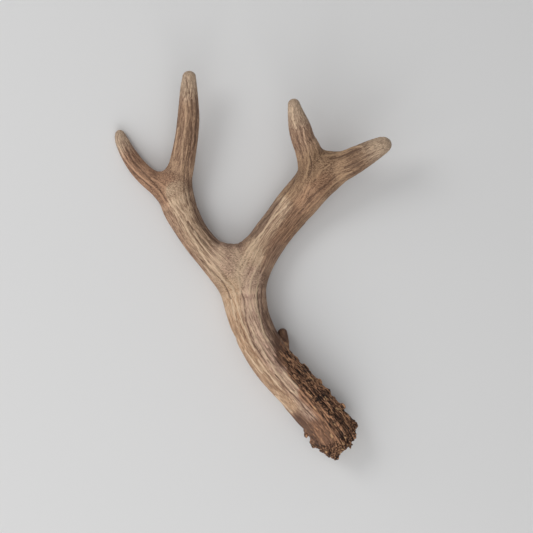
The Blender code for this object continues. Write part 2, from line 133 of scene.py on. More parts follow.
SHORT_TINE: tuple[Station, ...] = (
    (53.5, 66.7, 27.0, 9.1, 9.2),
    (48.0, 93.5, 37.0, 10.5, 10.4),
    (43.0, 104.7, 43.0, 9.7, 9.0),
    (39.9, 114.5, 47.5, 9.2, 8.0),
    (36.5, 126.3, 53.0, 6.5, 6.2),
    (35.1, 132.6, 55.0, 5.0, 4.9),
)
FRONT_TINE: tuple[Station, ...] = (
    (50.3, 66.2, 26.0, 10.2, 9.4),
    (68.9, 79.7, 33.0, 12.7, 11.2),
    (81.5, 85.4, 38.5, 11.3, 10.4),
    (96.0, 93.3, 44.0, 9.7, 9.2),
    (107.2, 99.2, 48.0, 7.5, 7.1),
    (110.2, 100.2, 49.0, 5.9, 5.5),
)
BROW_TINE: tuple[Station, ...] = (
    (23.0, -84.0, 17.0, 7.0, 6.6),
    (26.3, -73.8, 14.5, 5.8, 5.8),
    (26.8, -63.2, 12.0, 4.6, 4.6),
    (26.2, -56.2, 10.8, 3.7, 3.7),
)
MAIN_WEB: tuple[Station, ...] = (
    (-17.9, 3.6, 15.6, 15.4, 11.0),
    (-12.3, 5.4, 15.4, 13.2, 11.0),
    (-6.3, 5.8, 15.2, 13.9, 11.0),
    (-0.2, 10.1, 15.0, 12.2, 11.0),
)
REAR_WEB: tuple[Station, ...] = (
    (-71.1, 65.1, 13.4, 8.4, 8.4),
    (-72.6, 70.0, 13.2, 7.8, 7.6),
)
FRONT_WEB: tuple[Station, ...] = (
    (62.5, 74.6, 30.6, 10.5, 9.6),
    (62.2, 85.8, 33.0, 9.4, 9.0),
)

# Single knobs on the burr's edge and on the rough front: x, y, z of the middle, and radius.
KNOBS: tuple[tuple[float, float, float, float], ...] = (
    (70.5, -159.9, 28.7, 2.5),
    (66.8, -158.6, 30.2, 1.1),
    (46.1, -138.5, 11.0, 2.8),
    (46.5, -142.2, 9.5, 2.8),
    (51.8, -151.5, 14.9, 1.7),
    (58.7, -154.0, 23.9, 2.0),
    (62.9, -155.6, 20.2, 1.4),
    (75.8, -152.1, 31.3, 1.3),
    (79.6, -150.0, 30.4, 1.4),
    (82.4, -150.0, 26.9, 2.4),
    (89.1, -133.9, 18.4, 1.1),
    (38.4, -78.8, 22.0, 1.9),
    (48.9, -92.4, 23.0, 1.9),
    (61.0, -104.7, 24.0, 2.0),
    (74.6, -118.0, 25.0, 2.2),
)


class Tone(Enum):
    """The named colours of the surface, as shares of the light that they send back."""

    BROWN = (0.360, 0.215, 0.135)
    CREAM = (0.620, 0.420, 0.275)
    GOLD = (0.650, 0.405, 0.240)
    MAUVE = (0.765, 0.505, 0.386)
    OLIVE = (0.268, 0.155, 0.084)
    REDDISH = (0.296, 0.144, 0.078)
    # SHADE is partly painted shade, laid on the flanks that face away from the light and round the
    # main crotch, and partly those parts' own darker brown.
    SHADE = (0.235, 0.140, 0.090)
    POINT = (0.625, 0.472, 0.338)
    RUST = (0.135, 0.060, 0.032)
    BARK = (0.200, 0.096, 0.056)


def unit(vectors: Array) -> Array:
    """Scales vectors, one to a row, to length one."""
    length = np.linalg.norm(vectors, axis=-1, keepdims=True)
    return vectors / np.maximum(length, TINY)


def ease(value: Array) -> Array:
    """Steps smoothly from 0 to 1; numbers outside that are cut to it."""
    value = np.clip(value, 0, 1)
    return value * value * (3 - 2 * value)


@dataclass(frozen=True)
class Fade:
    """A gentle step of a value, from where it starts and as far as it reaches."""

    start: float
    reach: float

    def up(self, value: Array) -> Array:
        """Steps from 0 before the start to 1 past the reach."""
        return ease((value - self.start) / self.reach)

    def down(self, value: Array) -> Array:
        """Steps from 1 before the start to 0 past the reach."""
        return ease(1 - (value - self.start) / self.reach)


@dataclass(frozen=True)
class Streaks:
    """Smooth random lines round a limb, made from a net of random heights."""

    seed: int
    around: int
    length: float
    rows: int = 128

    def height(self, turn: Array, run: Array) -> Array:
        """Reads the lines at points of a limb.

        Args:
            turn: Angle of each point round the limb, in radians.
            run: Distance of each point along the limb, in millimetres.

        Returns:
            Heights from -1 to 1.
        """
        table = np.random.default_rng(self.seed).uniform(-1, 1, (self.around, self.rows))
        u, v = turn / math.tau * self.around, run / self.length
        column, row = np.floor(u).astype(int), np.floor(v).astype(int)
        s, t = ease(u - column), ease(v - row)
        corner = [table[(column + i) % self.around, (row + j) % self.rows]
                  for i in (0, 1) for j in (0, 1)]
        near = corner[0] * (1 - t) + corner[1] * t
        far = corner[2] * (1 - t) + corner[3] * t
        return near * (1 - s) + far * s


@dataclass(frozen=True)
class Beads:
    """Separate beads, one to each cell of a net round a limb."""

    seed: int
    around: int
    length: float
    reach: float = 0.62
    stray: tuple[float, float] = (0.2, 0.8)
    tall: tuple[float, float] = (0.25, 1.0)
    rows: int = 128

    def height(self, turn: Array, run: Array) -> Array:
        """Reads the beads at points of a limb.

        Args:
            turn: Angle of each point round the limb, in radians.
            run: Distance of each point along the limb, in millimetres.

        Returns:
            Heights from 0 between beads to 1 on the tallest.
        """
        random = np.random.default_rng(self.seed)
        shift = random.uniform(*self.stray, (2, self.around, self.rows))
        tall = random.uniform(*self.tall, (self.around, self.rows))
        u, v = turn / math.tau * self.around, run / self.length
        best = np.zeros_like(u)
        for i in (-1, 0, 1):
            for j in (-1, 0, 1):
                column, row = np.floor(u).astype(int) + i, np.floor(v).astype(int) + j
                cell = (column % self.around, row % self.rows)
                gap = np.hypot(u - column - shift[0][cell], v - row - shift[1][cell])
                best = np.maximum(best, tall[cell] * ease(1 - gap / self.reach))
        return best


@dataclass
class Limb:
    """A beam, tine or web: oval sections along a smooth axis, with round ends."""

    stations: tuple[Station, ...]
    section_step: float = 3.0
    centre: Array = field(init=False)
    half: Array = field(init=False)
    heading: Array = field(init=False)
    across: Array = field(init=False)
    lift: Array = field(init=False)
    along: Array = field(init=False)

    def __post_init__(self) -> None:
        """Works out the sections between the stations."""
        run = self.smooth_run()
        self.centre = run[:, :3]
        self.half = run[:, 3:5]
        self.heading = unit(np.gradient(self.centre, axis=0))
        self.across = unit(np.cross(self.heading, UP))
        self.lift = np.cross(self.across, self.heading)
        steps = np.linalg.norm(np.diff(self.centre, axis=0), axis=1)
        self.along = np.concatenate([[0.0], np.cumsum(steps)])

    def smooth_run(self) -> Array:
        """Draws a smooth curve through the stations.

        Returns:
            One row to a section: its centre, half width and half depth.
        """
        knots = np.array(self.stations, float)
        knots = np.vstack([2 * knots[0] - knots[1], knots, 2 * knots[-1] - knots[-2]])
        sections = []
        for a, b, c, d in zip(knots, knots[1:], knots[2:], knots[3:]):
            count = max(2, int(np.linalg.norm(c[:3] - b[:3]) / self.section_step))
            t = np.linspace(0, 1, count, endpoint=False)[:, None]
            cubic = 3 * b - a - 3 * c + d
            square = 2 * a - 5 * b + 4 * c - d
            sections.append(b + 0.5 * ((c - a) * t + square * t ** 2 + cubic * t ** 3))
        sections.append(knots[-2:-1])
        return np.vstack(sections)

    def nearest(self, points: Array) -> tuple[Array, Array]:
        """Finds the section that lies nearest to each point.

        Args:
            points: One point to a row.

        Returns:
            The number of the section before each point, and the share of the way to the next.
        """
        start = self.centre[:-1]
        edge = np.diff(self.centre, axis=0)
        offset = points[:, None] - start
        t = np.clip((offset * edge).sum(2) / (edge ** 2).sum(1), 0, 1)
        gap = np.linalg.norm(offset - t[..., None] * edge, axis=2) - self.half.mean(1)[:-1]
        pick = gap.argmin(1)
        return pick, t[np.arange(len(points)), pick]

    def read(self, rows: Array, pick: Array, t: Array) -> Array:
        """Reads a value kept for each section, at a share of the way from one to the next."""
        t = t.reshape(-1, *([1] * (rows.ndim - 1)))
        return rows[pick] * (1 - t) + rows[pick + 1] * t

    def place(self, points: Array) -> LimbPlace:
        """Finds where points lie on the limb.

        Args:
            points: One point to a row.

        Returns:
            Their place on it.
        """
        pick, t = self.nearest(points)
        offset = points - self.read(self.centre, pick, t)
        frames = (self.across, self.lift, self.heading)
        local = np.column_stack([(offset * self.read(f, pick, t)).sum(1) for f in frames])
        half = self.read(self.half, pick, t)
        return LimbPlace(offset, local, half, self.read(self.along, pick, t), self.along[-1])

    def measure(self, points: Array) -> Skin:
        """Measures how far points are outside the skin.

        Args:
            points: One point to a row.

        Returns:
            The distance of each point, and the way that leads straight out.
        """
        place = self.place(points)
        half = np.column_stack([place.half, place.half.min(1)])
        scaled = np.linalg.norm(place.local / half, axis=1)
        reach = np.linalg.norm(place.offset, axis=1)
        return reach * (1 - 1 / np.maximum(scaled, TINY)), unit(place.offset)


@dataclass(frozen=True)
class LimbPlace:
    """Where points lie on a limb, from its axis and along it."""

    offset: Array
    local: Array
    half: Array
    run: Array
    length: float

    @property
    def turn(self) -> Array:
        """The angle of each point round the limb."""
        return np.arctan2(self.local[:, 1], self.local[:, 0])

    @property
    def gap(self) -> Array:
        """The distance of each point from the mean skin."""
        return np.linalg.norm(self.offset, axis=1) - self.half.mean(1)


def blend(parts: list[Skin], reach: float) -> Skin:
    """Makes one skin from several.

    Args:
        parts: The distance and the way out of each skin.
        reach: How far the skins flow into each other.

    Returns:
        The distance and the way out of the joint skin.
    """
    gaps = np.stack([gap for gap, way in parts])
    ways = np.stack([way for gap, way in parts])
    low = gaps.min(0)
    weight = np.exp((low - gaps) / reach)
    return low - reach * np.log(weight.sum(0)), unit((weight[..., None] * ways).sum(0))


@dataclass
class Burr:
    """The knobbly collar round the shed end and the domed face that it frames."""

    centre: Array = field(default_factory=lambda: np.array((70.8, -142.6, 14.0)))
    tilt: float = math.radians(46.0)
    heading: float = math.radians(-63.0)
    ring: float = 16.29
    ring_cos: tuple[float, ...] = (-1.95, 0.52, 2.21, -0.68, -0.24, 0.13, -0.15)
    ring_sin: tuple[float, ...] = (1.67, -1.67, 2.18, -1.44, 0.41, -0.18, -0.28)
    thick: float = 3.3
    inset: float = 0.6
    dome: float = 2.6
    dome_end: float = 1.3
    knob_height: float = 1.3
    knob_swell: float = 0.22
    pit_depth: float = 1.3
    pore_depth: float = 0.5
    crumb_slope: float = 0.4
    knobs: Streaks = Streaks(21, 23, 1.0)
    pits: Beads = Beads(4, 11, 3.6)
    pores: Beads = Beads(47, 36, 1.5)
    crumbs: Beads = Beads(51, 62, 2.1)
    out: Array = field(init=False)
    across: Array = field(init=False)
    upper: Array = field(init=False)

    def __post_init__(self) -> None:
        """Works out the three directions of the tilted collar."""
        level, drop = math.cos(self.tilt), math.sin(self.tilt)
        east, north = math.cos(self.heading), math.sin(self.heading)
        self.out = np.array((east * level, north * level, -drop))
        self.across = np.array((-north, east, 0.0))
        self.upper = np.cross(self.across, self.out)

    def local(self, points: Array) -> tuple[Array, Array, Array]:
        """Places points on the collar.

        Args:
            points: One point to a row.

        Returns:
            Angle round the collar, distance from its axis and height out of its plane.
        """
        offset = points - self.centre
        side, top, out = offset @ self.across, offset @ self.upper, offset @ self.out
        return np.arctan2(top, side), np.hypot(side, top), out

    def seal(self, points: Array) -> Skin:
        """Measures how far points are outside the domed shed face.

        Args:
            points: One point to a row.

        Returns:
            The distance of each point, and the way out.
        """
        _, radius, out = self.local(points)
        dome = self.dome * (1 - np.minimum(radius / self.ring, self.dome_end) ** 2)
        return out - dome, np.broadcast_to(self.out, points.shape)

    def collar(self, points: Array) -> Skin:
        """Measures how far points are outside the collar.

        Args:
            points: One point to a row.

        Returns:
            The distance of each point, and the way out.
        """
        angle, radius, out = self.local(points)
        outline = sum(a * np.cos(n * angle) + b * np.sin(n * angle)
                      for n, (a, b) in enumerate(zip(self.ring_cos, self.ring_sin), start=1))
        knob = self.knobs.height(angle, np.zeros_like(angle))
        ring = self.ring + outline + self.knob_height * knob
        radial = unit(points - self.centre - out[:, None] * self.out)
        offset = ((radius - ring)[:, None] * radial
                  + (out + self.thick * self.inset)[:, None] * self.out)
        thick = self.thick * (1 + self.knob_swell * knob)
        return np.linalg.norm(offset, axis=1) - thick, unit(offset)

    def face_relief(self, points: Array) -> Array:
        """Works out the heights of the pits and pores, all below the shed face."""
        angle, radius, _ = self.local(points)
        return (-self.pit_depth * self.pits.height(angle, radius)
                - self.pore_depth * self.pores.height(angle, radius))

    def crumb_height(self, points: Array) -> Array:
        """Works out the small crumbs on the collar, from 0 between them to 1 on the tallest."""
        angle, radius, out = self.local(points)
        return self.crumbs.height(angle, out + self.crumb_slope * radius)


def knob_skin(points: Array) -> Skin:
    """Measures how far points are outside the nearest single knob.

    Args:
        points: One point to a row.

    Returns:
        The distance of each point, and the way out.
    """
    knobs = np.array(KNOBS)
    offset = points[:, None] - knobs[:, :3]
    gap = np.linalg.norm(offset, axis=2) - knobs[:, 3]
    pick = gap.argmin(1)
    row = np.arange(len(points))
    return gap[row, pick], unit(offset[row, pick])


@dataclass(frozen=True)
class Growth:
    """The ridges, furrows and beads that grew along the limbs, in millimetres."""

    base_run: float = 20.0
    base: Fade = Fade(20.0, 190.0)
    above: Fade = Fade(22.0, 12.0)
    large_tip: Fade = Fade(8.0, 60.0)
    fine_tip: Fade = Fade(6.0, 45.0)
    front_turn: float = 0.1
    front_half: float = 0.75
    front_side: Fade = Fade(0.0, 0.55)
    front_end: Fade = Fade(82.0, 45.0)
    front_level: float = 1.1
    upper_share: float = 0.5
    swell_height: float = 0.6
    furrow_width: float = 0.4
    furrow_level: float = 0.3
    rib_rise: float = 1.14
    rib_cut: float = 0.66
    knob_rise: float = 3.5
    knob_loss: float = 0.034
    groove_sway: float = 0.04
    groove_depth: float = 0.5
    groove_side: Fade = Fade(0.0, 0.4)
    thick_limb: Fade = Fade(7.0, 6.0)
    hair_depth: float = 0.22
    hair_side: Fade = Fade(0.0, 0.5)
    groove_level: float = 0.55
    bead_sway: float = 0.08
    ridge_width: float = 0.4
    ridge_height: float = 1.3
    long_bead_height: float = 1.2
    small_bead_height: float = 0.8
    bead_level: float = 1.4
    swell: Streaks = Streaks(3, 9, 42.0)
    lines: Streaks = Streaks(5, 17, 30.0)
    ribs: Streaks = Streaks(11, 15, 26.0)
    knobs: Beads = Beads(8, 15, 9.0)
    sway: Streaks = Streaks(31, 5, 24.0)
    grooves: Streaks = Streaks(33, 32, 55.0)
    close_grooves: Streaks = Streaks(39, 58, 55.0)
    fine_grooves: Streaks = Streaks(35, 80, 26.0)
    ridges: Streaks = Streaks(37, 50, 28.0)
    long_beads: Beads = Beads(43, 48, 13.0, 0.72)
    small_beads: Beads = Beads(44, 46, 4.2)

    def pearl_zone(self, turn: Array, run: Array) -> Array:
        """Marks the rough front of the beam with 1, fading to 0 at its sides and upper end."""
        climb = self.front_end.down(run)
        return climb * self.front_side.up(
            self.front_half * (1 + climb) - np.abs(turn - self.front_turn))

    def above_burr(self, run: Array) -> Array:
        """Marks where furrows have come in above the burr, from 0 on it to 1 a little way up."""
        return self.above.up(run)

    def large(self, place: LimbPlace) -> Array:
        """Works out the relief that the solids have as well.

        Args:
            place: Where the points lie on a limb.

        Returns:
            Heights over the smooth skin.
        """
        turn, run = place.turn, place.run
        share = self.upper_share + (1 - self.upper_share) * self.base.down(run)
        furrow = -np.maximum(0, 1 - np.abs(self.lines.height(turn, run)) / self.furrow_width)
        low = self.swell_height * self.swell.height(turn, run) + furrow + self.furrow_level
        low = low * share * self.above_burr(run) * self.large_tip.up(place.length - run)
        ribs = self.ribs.height(turn, run)
        ribs = ribs * np.where(ribs > 0, self.rib_rise, self.rib_cut)
        rise = self.knob_rise - self.knob_loss * (run - self.base_run)
        knobs = rise * self.knobs.height(turn, run)
        return low + self.pearl_zone(turn, run) * (ribs + knobs - self.front_level)

    def grooved(self, place: LimbPlace) -> Array:
        """Works out the long wandering grooves of the smoother parts.

        Args:
            place: Where the points lie on a limb.

        Returns:
            Heights from -0.55 in the grooves to 0.17 between them.
        """
        run = place.run
        turn = place.turn + self.groove_sway * self.sway.height(place.turn, run)
        thick = self.thick_limb.up(np.hypot(place.local[:, 0], place.local[:, 1]))
        groove = (np.abs(self.grooves.height(turn, run)) * (1 - thick)
                  + np.abs(self.close_grooves.height(turn, run)) * thick)
        hair = np.abs(self.fine_grooves.height(turn, run))
        return (self.groove_depth * self.groove_side.up(groove)
                + self.hair_depth * self.hair_side.up(hair) - self.groove_level)

    def beaded(self, place: LimbPlace) -> Array:
        """Works out the ridges and rows of long beads of the rough front.

        Args:
            place: Where the points lie on a limb.

        Returns:
            Heights from -1.4 between the beads to 1.9 on the tallest.
        """
        run = place.run
        turn = place.turn + self.bead_sway * self.sway.height(place.turn, run)
        ridge = np.maximum(0, 1 - np.abs(self.ridges.height(turn, run)) / self.ridge_width)
        beads = (self.long_bead_height * self.long_beads.height(turn, run)
                 + self.small_bead_height * self.small_beads.height(turn, run))
        return self.ridge_height * ridge + beads - self.bead_level

    def fine(self, place: LimbPlace) -> Array:
        """Works out the finer relief: wandering grooves, and rows of long beads where rough.

        Args:
            place: Where the points lie on a limb.

        Returns:
            Heights over the large relief.
        """
        rough = self.pearl_zone(place.turn, place.run)
        smooth = self.fine_tip.up(place.length - place.run) * self.above_burr(place.run)
        return (1 - rough) * smooth * self.grooved(place) + rough * self.beaded(place)


@dataclass
class AntlerForm:
    """The whole outer form: limbs and webs, brow tine, burr and shed face as one skin."""

    fuse_reach: float = 3.0
    knob_reach: float = 1.0
    collar_reach: float = 1.8
    bead_reach: float = 0.6
    strand_reach: float = 3.0
    forks: tuple[tuple[int, int], ...] = ((0, 1), (0, 2), (2, 3))
    web_apart: Fade = Fade(0.0, 9.0)
    web_even: Fade = Fade(0.0, 26.0)
    web_near: Fade = Fade(0.0, 3.0)
    face_rim: Fade = Fade(1.0, 2.5)
    face_depth: Fade = Fade(0.0, 2.5)
    pale_side: Fade = Fade(0.36, 1.2)
    pale_height: float = 0.35
    dark_side: Fade = Fade(0.33, 1.1)
    dark_depth: float = 0.45
    crumb_height: float = 1.3
    crumb_level: float = 0.5
    floor_pad: float = 0.35
    pad_reach: float = 0.25
    growth: Growth = Growth()
    burr: Burr = field(default_factory=Burr)
    limbs: list[Limb] = field(init=False)
    webs: list[Limb] = field(init=False)
    brow: Limb = field(init=False)
    strands: list[Limb] = field(init=False)

    def __post_init__(self) -> None:
        """Makes the limbs, and the four strands that run from the burr to the points."""
        trunk = (LOWER_BEAM, REAR_BEAM, UPRIGHT_TINE, REAR_TINE, FRONT_BEAM, SHORT_TINE, FRONT_TINE)
        self.limbs = [Limb(stations) for stations in trunk]
        self.webs = [Limb(stations) for stations in (MAIN_WEB, REAR_WEB, FRONT_WEB)]
        self.brow = Limb(BROW_TINE)
        below = LOWER_BEAM[:-1]
        rear, front = below + REAR_BEAM[2:-1], below + FRONT_BEAM[2:-1]
        self.strands = [Limb(rear + REAR_TINE[1:]), Limb(rear + UPRIGHT_TINE[1:]),
                        Limb(front + SHORT_TINE[1:]), Limb(front + FRONT_TINE[1:])]

    def measure(self, points: Array) -> Skin:
        """Measures how far points are outside the smooth skin.

        Args:
            points: One point to a row.

        Returns:
            The distance of each point, and the way out.
        """
        gap, way = blend([limb.measure(points) for limb in self.limbs + self.webs],
                         self.fuse_reach)
        gap, way = blend([(gap, way), self.brow.measure(points)], self.knob_reach)
        shed, out = self.burr.seal(points)
        past = (shed > gap)[:, None]
        gap, way = np.maximum(gap, shed), np.where(past, out, way)
        gap, way = blend([(gap, way), self.burr.collar(points)], self.collar_reach)
        return blend([(gap, way), knob_skin(points)], self.bead_reach)

    def settle(self, points: Array, rounds: int) -> Skin:
        """Moves points straight onto the smooth skin.

        Args:
            points: One point to a row.
            rounds: How often each point is moved.

        Returns:
            The moved points, and the way out at each.
        """
        for _ in range(rounds):
            gap, way = self.measure(points)
            points = points - gap[:, None] * way
        return points, way

    def places(self, points: Array) -> tuple[list[LimbPlace], Array]:
        """Places points on the strands.

        Args:
            points: One point to a row.

        Returns:
            The place on each strand, and the share that each strand has in each point.
        """
        places = [strand.place(points) for strand in self.strands]
        gaps = np.stack([place.gap for place in places])
        weight = np.exp((gaps.min(0) - gaps) / self.strand_reach)
        return places, weight / weight.sum(0)

    def between(self, places: list[LimbPlace]) -> Array:
        """Marks the webs of the forks, where grooves of two limbs run into each other.

        Args:
            places: The place of each point on each strand.

        Returns:
            1 in the middle of a web, fading to 0 on the limbs.
        """
        gaps = np.stack([place.gap for place in places])
        web = np.zeros(gaps.shape[1])
        for i, j in self.forks:
            apart = np.linalg.norm(places[i].local[:, :2] - places[j].local[:, :2], axis=1)
            even = self.web_even.down(np.abs(gaps[i] - gaps[j]))
            near = self.web_near.down(np.minimum(gaps[i], gaps[j]) - gaps.min(0))
            web = np.maximum(web, self.web_apart.up(apart) * even * near)
        return web

    def on_face(self, points: Array) -> Array:
        """Marks the shed face with 1, fading to 0 at its rim."""
        inside = self.face_rim.up(self.burr.ring - self.burr.local(points)[1])
        return inside * self.face_depth.down(-self.burr.seal(points)[0])

    def relief(self, points: Array) -> Array:
        """Works out the whole relief over the smooth skin.

        Args:
            points: One point on the smooth skin to a row.

        Returns:
            Heights in millimetres.
        """
        places, weight = self.places(points)
        heights = [self.growth.large(place) + self.growth.fine(place) for place in places]
        face = self.on_face(points)
        lift = sum(w * place.local[:, 1] for w, place in zip(weight, places))
        lines = (self.pale_height * self.pale_side.down(line_gap(PALE_LINES, points, lift))
                 - self.dark_depth * self.dark_side.down(line_gap(DARK_LINES, points, lift)))
        bare = 1 - sum(w * self.growth.above_burr(place.run) for w, place in zip(weight, places))
        crumbs = bare * (self.crumb_height * self.burr.crumb_height(points) - self.crumb_level)
        heights = (weight * np.stack(heights)).sum(0) + lines + crumbs
        return (1 - face) * heights + face * self.burr.face_relief(points)

    def carve(self, points: Array, rounds: int) -> Array:
        """Moves points onto the finished skin, with its relief.

        Args:
            points: One point to a row.
            rounds: How often each point is moved to reach the smooth skin.

        Returns:
            The finished points.
        """
        placed, way = self.settle(points, rounds)
        placed = placed + self.relief(placed)[:, None] * way
        placed[:, 2] -= self.floor_pad
        return placed


def path_gap(path: PlanLine, points: Array) -> Array:
    """Measures how far points are, in plan, from a line through some places.

    Args:
        path: x and y of each place in turn.
        points: One point to a row, in millimetres.

    Returns:
        Distances in millimetres.
    """
    places = np.array(path, float).reshape(-1, 2)
    best = np.full(len(points), np.inf)
    for start, end in zip(places, places[1:]):
        offset, edge = points[:, :2] - start, end - start
        t = np.clip((offset @ edge) / (edge @ edge), 0, 1)
        best = np.minimum(best, np.linalg.norm(offset - t[:, None] * edge, axis=1))
    return best


@dataclass(frozen=True)
class Wash:
    """A soft stroke of one tone along a line in plan, in millimetres."""

    tone: Tone
    line: PlanLine
    half_width: float
    soft: float
    strength: float

    def cover(self, points: Array) -> Array:
        """Works out how much of the stroke lies on each point, from 0 to its strength."""
        side = Fade(self.half_width, self.soft)
        return self.strength * side.down(path_gap(self.line, points))


# Strokes of colour, laid one over the other in the order of WASHES.
ROUGH_EDGE = Wash(Tone.BARK, (46, -105, 58, -118, 68, -131, 77, -148), 5, 6, 0.95)
DARK_PARTS: tuple[Wash, ...] = (
    Wash(Tone.RUST, (58, -114, 66, -127, 80, -142), 4, 5, 1.0),
    Wash(Tone.RUST, (40, -138, 47, -147, 55, -153), 3, 6, 1.0),
)
RED_PATCH = Wash(Tone.REDDISH, (56, -133, 63, -145, 69, -156), 2, 5, 0.85)
WASHES: tuple[Wash, ...] = (
    Wash(Tone.OLIVE, (30, 44, 52, 76, 80, 86, 98, 94), 14, 16, 0.85),
    Wash(Tone.REDDISH, (-74, 64, -92, 82, -104, 98), 9, 10, 0.62),
    Wash(Tone.CREAM, (-62, 62, -50, 32, -33, 8, -16, -18), 5, 8, 0.85),
    Wash(Tone.MAUVE, (-22, 10, -8, 0), 9, 8, 0.5),
    Wash(Tone.REDDISH, (12, 10, 29, 32, 42, 50, 60, 70), 4, 8, 0.45),
    Wash(Tone.CREAM, (-11, -22, -2, 2, 8, 26, 24, 50), 4, 8, 0.9),
    Wash(Tone.OLIVE, (-60, 84, -54, 126), 7, 8, 0.4),
    # Partly the golden tan of the lower beam's left flank, partly painted light on that flank,
    # which faces the light.
    Wash(Tone.GOLD, (-17, -20, -14, -48, 2, -82, 20, -101, 31, -114), 4, 9, 0.85),
    Wash(Tone.MAUVE, (0, -8, 0, -34, 8, -60, 24, -86, 44, -108, 52, -120), 4, 8, 0.8),
    Wash(Tone.REDDISH, (12, -86, 26, -104), 2, 6, 0.36),
    Wash(Tone.REDDISH, (29, -90, 37, -99), 2, 5, 0.25),
    # Painted shade along the right flanks of the lower and front beams, which face away from the
    # light, partly their own darker brown.
    Wash(Tone.SHADE, (22, 14, 10, -8, 9, -32, 16, -58, 30, -74), 2, 7, 0.6),
    # Painted shade round the inside of the main crotch, on the facing rims of the rear and front
    # beams.
    Wash(Tone.SHADE, (-48, 66, -44, 40, -30, 22, -12, 18, 6, 30, 20, 52), 1, 6, 0.85),
    Wash(Tone.REDDISH, (54, -137, 59, -145, 64, -152), 6, 7, 0.95),
    ROUGH_EDGE,
    Wash(Tone.RUST, (38, -134, 48, -148, 62, -158, 74, -162, 92, -138), 6, 10, 1.0),
    *DARK_PARTS[1:],
    RED_PATCH,
    Wash(Tone.RUST, (28, -76, 27, -56), 6, 5, 1.0),
    Wash(Tone.GOLD, (26, -55, 25, -60), 1, 3, 0.10),
)

# The lines and specks that the photo shows one by one: x and y of each place in turn. The specks
# are partly worn bone and partly painted highlights on the tops of knobs.
PALE_LINES: tuple[PlanLine, ...] = (
    (25.6, -55, 25.0, -60, 24.6, -65),
    (-70, 56, -66, 50, -62, 45, -59, 40, -56, 35, -53, 30, -50, 24, -46, 18, -44, 14, -40, 8, -36,
     2, -30, -2, -26, -7, -24, -11, -20, -14, -16, -17, -14, -22),
    (-66, 55, -61, 50, -56, 44, -54, 39),
    (-48, 29, -44, 22, -38, 14, -33, 8, -27, 3),
    (30, 61, 26, 55, 22, 49, 17, 41, 13, 34, 9, 28, 5, 24, 0, 18, -4, 13, -7, 7, -10, 0, -12, -5,
     -10, -13, -9, -22),
    (29, 50, 21, 43, 16, 37, 12, 32, 7, 25, 4, 19, 0, 14, -3, 8, -5, 2, -8, -5),
    (10, 8, 6, 2, 3, -4, 0, -10, -1, -16, -2, -24),
    (11, -1, 7, -8, 5, -16, 4, -24, 4, -32, 6, -39, 8, -47, 10, -56, 14, -62),
    (-14, -22, -13, -29, -10, -38, -8, -46, -4, -55, -1, -63, 3, -70),
    (-17, -28, -15, -37, -13, -45),
    (-1, -49, 3, -58, 7, -66, 12, -74),
    (9, -71, 16, -80, 21, -89, 27, -96, 33, -103, 39, -108),
    (6, -78, 12, -87, 19, -95, 25, -102),
    (27, -88, 32, -94, 37, -99, 42, -105, 47, -111, 52, -117, 57, -124, 62, -130, 66, -136, 70,
     -142, 74, -148),
    (36, -104, 42, -110, 48, -116, 54, -122, 59, -128),
    (55, -113, 60, -120, 65, -126),
    (-5, -70, 1, -79, 9, -89),
    (20, -108, 27, -115, 34, -122),
    (-112, 101, -108, 92, -102, 84, -94, 76, -85, 69, -78, 63, -73, 55, -69, 50),
    (-84, 74, -77, 70, -70, 64),
    (-55, 139, -54, 127, -55, 115, -57, 103, -58, 90, -59, 79),
    (-61, 115, -63, 104, -65, 92),
    (43, 113, 44, 104, 47, 95, 48, 86, 46, 78, 43, 71),
    (49, 70, 48, 65, 45, 60, 43, 55),
    (83, 78, 78, 76, 74, 72, 68, 68, 62, 62, 56, 56, 49, 49, 43, 44),
    (58, 91, 67, 92, 75, 94, 83, 98, 91, 99),
    (54, 73, 58, 79, 65, 84),
    (34, 130, 34, 121, 37, 113),
)
DARK_LINES: tuple[PlanLine, ...] = (
    (-106, 100, -101, 90, -95, 83, -88, 76, -80, 68, -74, 60, -71, 54),
    (-111, 96, -105, 87, -99, 79, -91, 72, -84, 66),
    (-52, 95, -53, 84, -53, 72, -52, 60, -49, 50, -45, 40, -40, 32, -34, 24, -27, 19),
    (-55, 89, -56, 76, -56, 64, -53, 51),
    (-46, 142, -45, 130, -46, 118, -47, 105, -50, 94),
    (-49, 138, -49, 126, -50, 113, -51, 101),
    (-53, 37, -48, 30, -43, 24, -38, 17),
    (-51, 34, -46, 28, -40, 21, -36, 16),
    (-43, 6, -36, -1, -30, -7, -25, -12, -21, -18, -18, -25, -16, -32),
    (-9, -20, -6, -28, -5, -36, -4, -46, -1, -56, 3, -64, 8, -71),
    (12, 4, 8, -5, 6, -13, 5, -22, 6, -32, 7, -42, 10, -51, 14, -59, 19, -67),
    (9, -16, 8, -24, 9, -34, 10, -43, 15, -53, 20, -62, 26, -71, 31, -79),
    (69, 74, 64, 69, 57, 63, 50, 57, 45, 50, 40, 44),
    (72, 70, 65, 64, 59, 58, 52, 53, 46, 46, 41, 40, 36, 34),
    (36, 71, 31, 64, 25, 56, 19, 49, 13, 41, 6, 34),
    (40, 115, 43, 106, 46, 97, 49, 89, 50, 82, 48, 75),
    (38, 107, 40, 98, 43, 89),
    (65, 89, 73, 90, 82, 94, 90, 97),
    (77, 81, 86, 85, 94, 90, 102, 94),
    (62, 83, 57, 76, 52, 70),
    (17, -62, 24, -71, 30, -80, 37, -88, 43, -95, 49, -103, 54, -110),
    (14, -68, 20, -76, 27, -84, 34, -92, 40, -99, 47, -107),
    (20, -90, 26, -98, 33, -105, 40, -112, 45, -119, 51, -125),
    (-1, -61, 6, -70, 12, -79),
    (-54, 156, -53, 149, -51, 143),
)
